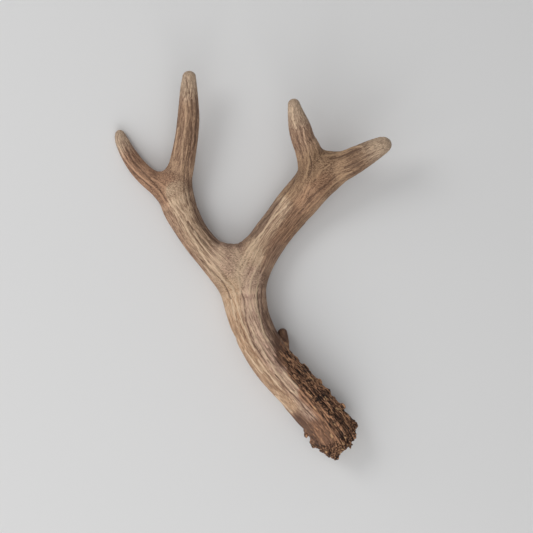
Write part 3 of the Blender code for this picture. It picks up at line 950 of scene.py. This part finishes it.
SPECKS: tuple[PlanLine, ...] = (
    (50.2, -150.5, 51.0, -150.7),
    (62.0, -154.5, 63.0, -155.0),
    (76.2, -147.5, 77.0, -148.6),
    (76.0, -152.6, 77.0, -153.2),
    (80.4, -149.4, 81.2, -150.0),
    (78.0, -142.6, 78.8, -143.6),
    (57.5, -157.0, 59.0, -158.0),
    (74.0, -156.5, 74.6, -155.6),
    (70.6, -118.6, 74.0, -119.6),
    (48.6, -92.6, 52.0, -95.0),
    (66.0, -140.0, 67.4, -142.6),
    (52.2, -117.0, 53.6, -119.0),
    (68.0, -129.0, 69.4, -131.6),
    (61.0, -108.6, 62.6, -110.6),
)


def line_gap(lines: tuple[PlanLine, ...], points: Array, lift: Array) -> Array:
    """Measures how far points are from the nearest of some lines on the upper side.

    Args:
        lines: The lines, in plan.
        points: One point to a row, in millimetres.
        lift: How far each point is over the middle of its limb.

    Returns:
        Distances in millimetres, larger on the under side and never over LINE_REACH.
    """
    best = np.min([path_gap(line, points) for line in lines], axis=0)
    return np.minimum(best + np.maximum(0.0, LINE_LIFT - lift), LINE_REACH)


@dataclass(frozen=True)
class Layer:
    """One layer of random values: how fine it is along each axis, its detail and roughness."""

    scale: Colour
    detail: float
    roughness: float


@dataclass(frozen=True)
class Step:
    """A gentle step of a reading: where it starts and ends, and the results before and after."""

    low: float
    high: float
    before: float = 0.0
    after: float = 1.0


@dataclass(frozen=True)
class Graph:
    """A short way to lay the nodes of a material."""

    tree: bpy.types.NodeTree

    def feed(self, socket: Socket, value: object) -> None:
        """Sets a socket to a value, or links it to another socket.

        Args:
            socket: The socket to feed.
            value: The value, or the socket that gives it.
        """
        if isinstance(value, bpy.types.NodeSocket):
            self.tree.links.new(value, socket)
        else:
            socket.default_value = value

    def attribute(self, name: str, output: str = "Fac") -> Socket:
        """Reads a value kept on the mesh.

        Args:
            name: The attribute's name.
            output: The output that is wanted: Fac, Vector or Color.

        Returns:
            That output.
        """
        node = self.tree.nodes.new("ShaderNodeAttribute")
        node.attribute_name = name
        return node.outputs[output]

    def work(self, kind: str, operation: str, first: object, second: object) -> Socket:
        """Works on two numbers or two vectors.

        Args:
            kind: The kind of node.
            operation: The sum to do.
            first: The first number or vector.
            second: The second one.

        Returns:
            The result.
        """
        node = self.tree.nodes.new(kind)
        node.operation = operation
        self.feed(node.inputs[0], first)
        self.feed(node.inputs[1], second)
        return node.outputs[0]

    def vector(self, operation: str, first: object, second: object) -> Socket:
        """Works on two vectors."""
        return self.work("ShaderNodeVectorMath", operation, first, second)

    def times(self, first: object, second: object) -> Socket:
        """Multiplies two numbers."""
        return self.work("ShaderNodeMath", "MULTIPLY", first, second)

    def plus(self, first: object, second: object) -> Socket:
        """Adds two numbers."""
        return self.work("ShaderNodeMath", "ADD", first, second)

    def apart(self, first: object, second: object) -> Socket:
        """Takes the difference of two numbers, without its sign."""
        gap = self.work("ShaderNodeMath", "SUBTRACT", first, second)
        return self.work("ShaderNodeMath", "ABSOLUTE", gap, 0.0)

    def noise(self, where: object, layer: Layer, output: str = "Fac") -> Socket:
        """Reads a layer of soft random values.

        Args:
            where: The coordinates.
            layer: The layer.
            output: Fac or Color.

        Returns:
            Values about 0.5.
        """
        node = self.tree.nodes.new("ShaderNodeTexNoise")
        self.feed(node.inputs["Vector"], self.vector("MULTIPLY", where, layer.scale))
        node.inputs["Scale"].default_value = 1.0
        node.inputs["Detail"].default_value = layer.detail
        node.inputs["Roughness"].default_value = layer.roughness
        return node.outputs[output]

    def sway(self, where: object, layer: Layer, reach: float) -> Socket:
        """Makes coordinates wander sideways.

        Args:
            where: The coordinates, in millimetres.
            layer: The random values that they follow.
            reach: How far they go at most, in millimetres.

        Returns:
            The new coordinates.
        """
        middle = (NOISE_MIDDLE,) * 3
        push = self.vector("SUBTRACT", self.noise(where, layer, "Color"), middle)
        push = self.vector("MULTIPLY", push, (2 * reach, 2 * reach, 0.0))
        return self.vector("ADD", where, push)

    def fit(self, value: object, step: Step) -> Socket:
        """Steps a reading gently between two results.

        Args:
            value: The reading.
            step: The step.

        Returns:
            The result.
        """
        node = self.tree.nodes.new("ShaderNodeMapRange")
        node.interpolation_type = "SMOOTHSTEP"
        for name, number in zip(("Value", "From Min", "From Max", "To Min", "To Max"),
                                (value, step.low, step.high, step.before, step.after)):
            self.feed(node.inputs[name], number)
        return node.outputs["Result"]

    def mix(self, share: object, first: object, second: object) -> Socket:
        """Mixes two colours.

        Args:
            share: How much of the second there is.
            first: The first colour.
            second: The second colour.

        Returns:
            The mixed colour.
        """
        node = self.tree.nodes.new("ShaderNodeMix")
        node.data_type = "RGBA"
        self.feed(node.inputs[0], share)
        for socket, value in zip((node.inputs[6], node.inputs[7]), (first, second)):
            self.feed(socket, (*value, 1.0) if isinstance(value, tuple) else value)
        return node.outputs[2]


# The random layers along the growth, and the values that the mesh keeps for the finish.
LAYERS: dict[str, Layer] = {
    "bands": Layer((0.22, 0.22, 0.012), 2.0, 0.5),
    "veins": Layer((0.95, 0.95, 0.016), 2.0, 0.45),
    "lines": Layer((1.8, 1.8, 0.042), 2.0, 0.6),
    "flecks": Layer((1.3, 1.3, 0.20), 3.0, 0.65),
    "hairs": Layer((2.6, 2.6, 0.10), 2.0, 0.6),
    "dust": Layer((2.2, 2.2, 0.6), 2.0, 0.7),
}
KEPT: tuple[str, ...] = ("crest", "rough", "point", "face", "web", "pale_gap", "dark_gap",
                         "speck_gap")


@dataclass(frozen=True)
class AntlerFinish:
    """Antler: tan to brown, with pale and dark streaks along its growth and dark rough parts."""

    cream: Colour = (0.780, 0.575, 0.390)
    lighter: Colour = (1.90, 2.08, 2.18)
    darker: Colour = (0.39, 0.31, 0.28)
    # Ridge colour: partly the worn reddish tan of the ridge tops, partly painted light on them.
    ridge: Colour = (0.575, 0.303, 0.167)
    flesh: Colour = (0.150, 0.066, 0.037)
    # Speck colour: partly worn bone, partly painted highlights on knob and ridge tops.
    speck: Colour = (0.700, 0.430, 0.220)
    groove: Colour = (0.115, 0.058, 0.034)
    # Near-black hollow colour: partly the dark brown between the beads, partly painted shade in the
    # hollows.
    hollow: Colour = (0.015, 0.008, 0.005)
    bone: Colour = (0.600, 0.460, 0.330)
    wide_sway: Layer = Layer((0.08, 0.08, 0.022), 2.0, 0.5)
    wide_reach: float = 1.5
    close_sway: Layer = Layer((0.35, 0.35, 0.08), 2.0, 0.5)
    close_reach: float = 0.3
    mottle: Layer = Layer((600.0, 2300.0, 1700.0), 3.0, 0.7)
    mottle_gain: float = 1.2
    mottle_shift: float = -0.030
    calm: Step = Step(0.0, 1.0, 1.0, 0.75)
    off_web: Step = Step(0.0, 1.0, 1.0, 0.0)
    line_share: float = 0.45
    hair_share: float = 0.25
    fleck_share: float = 0.3
    shaded: Step = Step(0.51, 0.42)
    lit: Step = Step(0.51, 0.59, 0.0, 0.85)
    dusted: Step = Step(0.46, 0.34, 0.0, 0.5)
    dark_vein: float = 0.455
    dark_vein_side: Step = Step(0.040, 0.010, 0.0, 0.5)
    pale_vein: float = 0.525
    pale_vein_side: Step = Step(0.036, 0.008, 0.0, 0.6)
    pale_band: Step = Step(0.40, 0.52)
    wobble: float = 2.2
    dark_line: Step = Step(1.0, 0.2, 0.0, 0.7)
    pale_line: Step = Step(1.2, 0.25)
    pale_broken: Step = Step(0.34, 0.54, 0.35, 0.95)
    speck_side: Step = Step(0.9, 0.3, 0.0, 0.8)
    # Painted shade in the grooves: where the crest is low the colour goes to the groove brown,
    # partly the grooves' own darker brown.
    cut: Step = Step(0.35, 0.0, 0.0, 0.4)
    wild_edge: float = 1.2
    wild: Step = Step(0.2, 0.45)
    crest_share: float = 0.7
    line_rise: Step = Step(0.38, 0.62, -0.26, 0.56)
    fleck_rise: Step = Step(0.38, 0.62, -0.3, 0.3)
    out_of_hollow: Step = Step(0.14, 0.34)
    on_ridge: Step = Step(0.42, 0.72)
    # Painted highlight: the orange speck colour laid on the highest ridge tops of the rough parts.
    glint_on_ridge_top: Step = Step(0.85, 1.05, 0.0, 0.7)
    on_bone: Step = Step(0.2, 0.8)
    roughness: float = 0.58
    hair_gloss: Step = Step(0.3, 0.7, -0.07, 0.07)
    wild_dull: float = 0.12
    shine: Step = Step(0.0, 1.0, 0.45, 0.28)
    streak_bump: float = 1.2
    fleck_bump: float = 0.5
    bump_depth: float = 0.0007

    def read(self, graph: Graph) -> dict[str, Socket]:
        """Reads the random layers along the growth, and the values that the mesh keeps.

        Args:
            graph: The material's nodes.

        Returns:
            Each reading under its name.
        """
        along = graph.sway(graph.attribute("grain", "Vector"), self.wide_sway, self.wide_reach)
        along = graph.sway(along, self.close_sway, self.close_reach)
        read = {name: graph.noise(along, layer) for name, layer in LAYERS.items()}
        read.update({name: graph.attribute(name) for name in KEPT})
        place = graph.tree.nodes.new("ShaderNodeTexCoord").outputs["Object"]
        mottle = graph.times(graph.noise(place, self.mottle), self.mottle_gain)
        mottle = graph.plus(mottle, self.mottle_shift)
        off_web = graph.fit(read["web"], self.off_web)
        streak = graph.plus(graph.times(read["lines"], self.line_share),
                            graph.times(read["hairs"], self.hair_share))
        streak = graph.plus(streak, graph.times(read["flecks"], self.fleck_share))
        read["streak"] = graph.plus(graph.times(streak, off_web), graph.times(mottle, read["web"]))
        read["calm"] = graph.fit(read["point"], self.calm)
        read["lined"] = graph.times(read["calm"], off_web)
        edge = graph.times(graph.plus(read["lines"], -NOISE_MIDDLE), self.wild_edge)
        read["wild"] = graph.fit(graph.plus(read["rough"], edge), self.wild)
        return read

    def rough_colour(self, graph: Graph, read: dict[str, Socket]) -> Socket:
        """Colours the rough parts, from hollows darkened with painted shade to ridge tops that are
        paler partly from wear and partly with painted highlights.

        Args:
            graph: The material's nodes.
            read: The readings.

        Returns:
            The colour.
        """
        height = graph.plus(graph.times(read["crest"], self.crest_share),
                            graph.fit(read["lines"], self.line_rise))
        height = graph.plus(height, graph.fit(read["flecks"], self.fleck_rise))
        colour = self.hollow
        # From painted shade in the hollows, through the beads' own brown, to ridge tops with
        # painted highlights.
        for step, tint in ((self.out_of_hollow, self.flesh), (self.on_ridge, self.ridge),
                           (self.glint_on_ridge_top, self.speck)):
            colour = graph.mix(graph.fit(height, step), colour, tint)
        return colour

    def colour(self, graph: Graph, read: dict[str, Socket]) -> Socket:
        """Lays the streaks and veins, the rough parts, the drawn lines and the shed face.

        Args:
            graph: The material's nodes.
            read: The readings.

        Returns:
            The colour.
        """
        colour = graph.attribute("tone", "Color")
        shade = graph.vector("MULTIPLY", colour, self.darker)
        light = graph.vector("MINIMUM", graph.vector("MULTIPLY", colour, self.lighter), self.cream)
        dark_vein = graph.apart(read["veins"], self.dark_vein)
        pale_vein = graph.apart(read["veins"], self.pale_vein)
        pale_here = graph.times(read["lined"], graph.fit(read["bands"], self.pale_band))
        for value, step, where, tint in (
                (read["streak"], self.shaded, read["calm"], shade),
                (read["streak"], self.lit, read["calm"], light),
                (read["dust"], self.dusted, read["lined"], shade),
                (dark_vein, self.dark_vein_side, read["lined"], self.groove),
                (pale_vein, self.pale_vein_side, pale_here, light)):
            colour = graph.mix(graph.times(graph.fit(value, step), where), colour, tint)
        wobble = graph.times(graph.plus(read["flecks"], -NOISE_MIDDLE), self.wobble)
        back = graph.times(wobble, -1.0)
        gap = graph.plus(read["dark_gap"], wobble)
        colour = graph.mix(graph.fit(gap, self.dark_line), colour, self.groove)
        # Painted shade in the grooves, partly their own darker brown.
        colour = graph.mix(graph.fit(read["crest"], self.cut), colour, self.groove)
        colour = graph.mix(read["wild"], colour, self.rough_colour(graph, read))
        share = graph.times(graph.fit(graph.plus(read["pale_gap"], back), self.pale_line),
                            graph.fit(read["hairs"], self.pale_broken))
        colour = graph.mix(share, colour, graph.mix(read["wild"], light, self.ridge))
        # The listed specks: partly worn bone, partly painted highlights on the tops of knobs.
        gap = graph.plus(read["speck_gap"], back)
        colour = graph.mix(graph.fit(gap, self.speck_side), colour, self.speck)
        bone = graph.mix(graph.fit(read["crest"], self.on_bone), self.flesh, self.bone)
        return graph.mix(read["face"], colour, bone)

    def material(self) -> bpy.types.Material:
        """Builds the finish.

        Returns:
            The material.
        """
        material = bpy.data.materials.new("antler")
        material.use_nodes = True
        tree = material.node_tree
        shader = tree.nodes["Principled BSDF"]
        graph = Graph(tree)
        read = self.read(graph)
        graph.feed(shader.inputs["Base Color"], self.colour(graph, read))
        gloss = graph.plus(graph.fit(read["hairs"], self.hair_gloss), self.roughness)
        gloss = graph.plus(gloss, graph.times(read["wild"], self.wild_dull))
        graph.feed(shader.inputs["Roughness"], gloss)
        graph.feed(shader.inputs["Specular IOR Level"], graph.fit(read["wild"], self.shine))
        height = graph.plus(graph.times(read["streak"], self.streak_bump),
                            graph.times(read["flecks"], self.fleck_bump))
        bump = tree.nodes.new("ShaderNodeBump")
        bump.inputs["Strength"].default_value = 1.0
        bump.inputs["Distance"].default_value = self.bump_depth
        graph.feed(bump.inputs["Height"], height)
        graph.feed(shader.inputs["Normal"], bump.outputs["Normal"])
        return material


def corners(mesh: bpy.types.Mesh) -> Array:
    """Reads the mesh's points.

    Args:
        mesh: The mesh.

    Returns:
        One point to a row.
    """
    flat = np.empty(len(mesh.vertices) * 3)
    mesh.vertices.foreach_get("co", flat)
    return flat.reshape(-1, 3)


def move_corners(mesh: bpy.types.Mesh, points: Array) -> None:
    """Puts the mesh's points at new places."""
    mesh.vertices.foreach_set("co", np.ascontiguousarray(points, float).ravel())
    mesh.update()


def show(name: str, data: bpy.types.ID) -> bpy.types.Object:
    """Makes an object and puts it in the scene.

    Args:
        name: Its name.
        data: The mesh, light or camera that it shows.

    Returns:
        The object.
    """
    shown = bpy.data.objects.new(name, data)
    bpy.context.scene.collection.objects.link(shown)
    return shown


def mesh_of(bm: bmesh.types.BMesh, name: str) -> bpy.types.Mesh:
    """Makes a mesh of a bmesh, and frees that.

    Args:
        bm: The bmesh.
        name: The mesh's name.

    Returns:
        The mesh.
    """
    mesh = bpy.data.meshes.new(name)
    bm.to_mesh(mesh)
    bm.free()
    return mesh


def with_modifier(mesh: bpy.types.Mesh, kind: str, **settings: object) -> bpy.types.Mesh:
    """Makes the mesh that a modifier makes of a mesh.

    Args:
        mesh: The mesh to start from.
        kind: The modifier's kind.
        settings: The modifier's own settings.

    Returns:
        The new mesh.
    """
    holder = show("holder", mesh)
    modifier = holder.modifiers.new(kind.lower(), kind)
    for name, value in settings.items():
        setattr(modifier, name, value)
    seen = holder.evaluated_get(bpy.context.evaluated_depsgraph_get())
    made = bpy.data.meshes.new_from_object(seen)
    bpy.data.objects.remove(holder)
    return made


@dataclass
class AntlerSkin:
    """The antler as one closed skin that stands for all seven solid pieces."""

    form: AntlerForm = field(default_factory=AntlerForm)
    finish: AntlerFinish = AntlerFinish()
    ball_splits: int = 2
    collar_balls: int = 40
    collar_inset: float = 0.5
    burr_overlap: float = 0.4
    rough_grid: float = 1.3
    fine_grid: float = 0.5
    triangles: int = 196_000
    settle_rounds: int = 5
    carve_rounds: int = 2
    points_at_once: int = 4000
    point_side: Fade = Fade(0.0, 26.0)
    point_share: float = 0.8
    low_side: Fade = Fade(34.0, 26.0)
    low_rough: float = 0.33
    edge_rough: float = 0.42
    burr_rough: float = 0.9
    patch_smooth: float = 0.38
    broken: Fade = Fade(0.0, 0.35)
    bead_zero: float = -1.2
    bead_span: float = 2.2
    crumb_light: float = 1.2
    foot: Fade = Fade(45.0, 45.0)
    foot_dark: float = 0.16
    part_dark: float = 0.22

    def in_batches(self, work: Callable[[Array], Array], points: Array) -> Array:
        """Does work on a few thousand points at a time, and joins it."""
        starts = range(0, len(points), self.points_at_once)
        return np.concatenate([work(points[i:i + self.points_at_once]) for i in starts])

    def add_ball(self, bm: bmesh.types.BMesh, centre: Array, axes: tuple[Array, Array, Array],
                 half: tuple[float, float, float]) -> None:
        """Adds a rough ball.

        Args:
            bm: The bmesh that it goes to.
            centre: Its middle.
            axes: The three ways that it is measured along.
            half: Its half sizes along them.
        """
        turn = Matrix(axes).transposed().to_4x4()
        place = Matrix.Translation(Vector(centre)) @ turn @ Matrix.Diagonal((*half, 1.0))
        bmesh.ops.create_icosphere(bm, subdivisions=self.ball_splits, radius=1.0, matrix=place)

    def rough_out(self) -> bpy.types.Mesh:
        """Sets balls along every limb and round the burr.

        Returns:
            A mesh of overlapping balls.
        """
        form, burr = self.form, self.form.burr
        bm = bmesh.new()
        for limb in form.limbs + form.webs + [form.brow]:
            for i, centre in enumerate(limb.centre):
                if (centre - burr.centre) @ burr.out > -self.burr_overlap * limb.half[i].mean():
                    continue
                wide, deep = limb.half[i]
                axes = (limb.across[i], limb.heading[i], limb.lift[i])
                self.add_ball(bm, centre, axes, (wide, deep, deep))
        for angle in np.linspace(0, math.tau, self.collar_balls, endpoint=False):
            radial = math.cos(angle) * burr.across + math.sin(angle) * burr.upper
            centre = burr.centre + burr.ring * radial - self.collar_inset * burr.thick * burr.out
            self.add_ball(bm, centre, (burr.across, burr.out, burr.upper), (burr.thick,) * 3)
        for x, y, z, radius in KNOBS:
            self.add_ball(bm, (x, y, z), (burr.across, burr.out, burr.upper), (radius,) * 3)
        return mesh_of(bm, "antler")

    def shape(self) -> bpy.types.Mesh:
        """Fuses the balls, settles the skin on the form and carves its relief.

        Returns:
            The finished mesh, in millimetres, before it is let down to its place.
        """
        mesh = with_modifier(self.rough_out(), "REMESH", mode="VOXEL", voxel_size=self.rough_grid)
        move_corners(mesh, self.in_batches(
            lambda p: self.form.settle(p, self.settle_rounds)[0], corners(mesh)))
        mesh = with_modifier(mesh, "REMESH", mode="VOXEL", voxel_size=self.fine_grid)
        move_corners(mesh, self.in_batches(
            lambda p: self.form.carve(p, self.carve_rounds), corners(mesh)))
        mesh = with_modifier(mesh, "TRIANGULATE")
        return with_modifier(mesh, "DECIMATE", ratio=self.triangles / len(mesh.polygons))

    def paint(self, points: Array) -> Array:
        """Works out what the finish reads at each point.

        Args:
            points: One point of the finished skin to a row, in millimetres.

        Returns:
            One row to a point: grain (3), crest, rough, point, face, web, gaps to the nearest
            pale line, dark line and speck, tone (3).
        """
        form, growth, burr = self.form, self.form.growth, self.form.burr
        places, weight = form.places(points)
        grain, grooved, beaded, rough, point, above = (
            sum((w * value.T).T for w, value in zip(weight, map(read, places))) for read in (
                lambda place: np.column_stack([place.local[:, :2], place.run]),
                growth.grooved, growth.beaded,
                lambda place: growth.pearl_zone(place.turn, place.run),
                lambda place: self.point_side.down(place.length - place.run),
                lambda place: growth.above_burr(place.run)))
        face, bare = form.on_face(points), 1 - above
        low = self.low_rough * self.low_side.down(grain[:, 2])
        rough = np.maximum(rough, np.maximum(self.edge_rough * ROUGH_EDGE.cover(points), low))
        broken = self.broken.up(rough)
        crest = ((1 - broken) * (grooved + growth.groove_level)
                 / (growth.groove_depth + growth.hair_depth)
                 + broken * (beaded - self.bead_zero) / self.bead_span)
        crest = crest * (1 - bare) + bare * self.crumb_light * burr.crumb_height(points)
        crest -= self.foot_dark * np.maximum(broken, bare) * self.foot.down(grain[:, 2])
        crest -= self.part_dark * np.maximum(*(part.cover(points) for part in DARK_PARTS))
        rough = np.maximum(rough, self.burr_rough * bare)
        rough *= 1 - self.patch_smooth * RED_PATCH.cover(points)
        pits = 1 + burr.face_relief(points) / (burr.pit_depth + burr.pore_depth)
        crest = np.clip(crest * (1 - face) + pits * face, 0, 1)
        washes = [(wash.cover(points), wash.tone) for wash in WASHES]
        tone = np.tile(np.array(Tone.BROWN.value), (len(points), 1))
        for cover, colour in washes + [(self.point_share * point, Tone.POINT)]:
            tone += cover[:, None] * (np.array(colour.value) - tone)
        gaps = [line_gap(lines, points, grain[:, 1]) for lines in (PALE_LINES, DARK_LINES, SPECKS)]
        web = form.between(places)
        return np.column_stack([grain, crest, rough, point, face, web, *gaps, tone])

    def keep(self, mesh: bpy.types.Mesh, name: str, kind: str, slot: str, values: Array) -> None:
        """Keeps values on the mesh under a name, one to each point."""
        layer = mesh.attributes.new(name, kind, "POINT")
        layer.data.foreach_set(slot, np.ascontiguousarray(values, np.float32).ravel())

    def dress(self, mesh: bpy.types.Mesh, painted: Array) -> None:
        """Keeps the painted values on the mesh and gives it its finish.

        Args:
            mesh: The finished mesh.
            painted: What the finish reads at each point, as paint gives it.
        """
        self.keep(mesh, "grain", "FLOAT_VECTOR", "vector", painted[:, :3])
        for column, name in enumerate(KEPT, start=3):
            self.keep(mesh, name, "FLOAT", "value", painted[:, column])
        opaque = np.column_stack([painted[:, 11:14], np.ones(len(painted))])
        self.keep(mesh, "tone", "FLOAT_COLOR", "color", opaque)
        mesh.materials.clear()
        mesh.materials.append(self.finish.material())
        mesh.shade_smooth()

    def build(self) -> bpy.types.Object:
        """Builds the antler and sets it in its place.

        Returns:
            The finished object.
        """
        mesh = self.shape()
        raw = corners(mesh)
        painted = self.in_batches(self.paint, raw + self.form.floor_pad * UP)
        low, high = np.array(size_before) / MM
        placed = raw + TO_MIDDLE
        placed[placed[:, 2] < self.form.pad_reach, 2] = 0.0
        move_corners(mesh, np.clip(placed, low, high) * MM)
        self.dress(mesh, painted)
        mesh.name = "antler"
        antler = show("antler", mesh)
        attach(antler, "root")
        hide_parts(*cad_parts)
        LOG.info("antler: %d triangles", len(mesh.polygons))
        return antler


@dataclass(frozen=True)
class SoftLight:
    """A round soft light that hangs round the antler and shines at it."""

    name: str
    azimuth: float
    elevation: float
    size: float
    power: float
    distance: float = 1.8

    def hang(self) -> bpy.types.Object:
        """Hangs the light.

        Returns:
            The light.
        """
        data = bpy.data.lights.new(self.name, "AREA")
        data.shape = "DISK"
        data.size = self.size
        data.energy = self.power
        turn, rise = math.radians(self.azimuth), math.radians(self.elevation)
        way = Vector((math.cos(turn) * math.cos(rise), math.sin(turn) * math.cos(rise),
                      math.sin(rise)))
        light = show(self.name, data)
        light.location = way * self.distance
        light.rotation_euler = (-way).to_track_quat("-Z", "Y").to_euler()
        LOG.info("%s hung", self.name)
        return light


@dataclass(frozen=True)
class Studio:
    """A plain pale floor, soft light from the upper left and a camera that looks straight down."""

    floor_size: float = 6.0
    floor_grey: float = 0.78
    floor_roughness: float = 0.9
    floor_gloss: float = 0.1
    camera_place: tuple[float, float, float] = (0.0127, -0.0003, 1.6)
    lens: float = 127.14
    sensor: float = 36.0
    lights: tuple[SoftLight, ...] = (
        SoftLight("window", 145.0, 48.0, 0.8, 5.7),
        SoftLight("low_window", 160.0, 28.0, 1.4, 4.4),
        SoftLight("low_fill", 225.0, 35.0, 1.6, 4.6),
        SoftLight("side_fill", 270.0, 35.0, 1.6, 10.6),
        SoftLight("top_fill", 0.0, 88.0, 1.6, 3.6),
    )
    sky: float = 0.30

    def floor(self) -> bpy.types.Object:
        """Lays the floor.

        Returns:
            The floor.
        """
        bm = bmesh.new()
        bmesh.ops.create_grid(bm, x_segments=1, y_segments=1, size=self.floor_size / 2)
        mesh = mesh_of(bm, "floor")
        material = bpy.data.materials.new("floor")
        material.use_nodes = True
        shader = material.node_tree.nodes["Principled BSDF"]
        shader.inputs["Base Color"].default_value = (*(self.floor_grey,) * 3, 1.0)
        shader.inputs["Roughness"].default_value = self.floor_roughness
        shader.inputs["Specular IOR Level"].default_value = self.floor_gloss
        mesh.materials.append(material)
        floor = show("floor", mesh)
        LOG.info("floor laid")
        return floor

    def light_up(self) -> None:
        """Hangs the soft lights and sets the even light of the room."""
        for light in self.lights:
            light.hang()
        world = bpy.data.worlds.new("room")
        world.use_nodes = True
        background = world.node_tree.nodes["Background"]
        background.inputs["Color"].default_value = (1.0, 1.0, 1.0, 1.0)
        background.inputs["Strength"].default_value = self.sky
        bpy.context.scene.world = world

    def camera(self) -> bpy.types.Object:
        """Sets the camera straight above the antler.

        Returns:
            The camera.
        """
        data = bpy.data.cameras.new("camera")
        data.lens = self.lens
        data.sensor_width = self.sensor
        camera = show("camera", data)
        camera.location = self.camera_place
        bpy.context.scene.camera = camera
        bpy.context.scene.view_settings.view_transform = "Standard"
        LOG.info("camera set")
        return camera


def main() -> None:
    """Builds the antler and the studio, and reports each."""
    logging.basicConfig(level=logging.INFO, format="%(message)s")
    AntlerSkin().build()
    studio = Studio()
    studio.floor()
    studio.light_up()
    studio.camera()


if __name__ == "__main__":
    main()
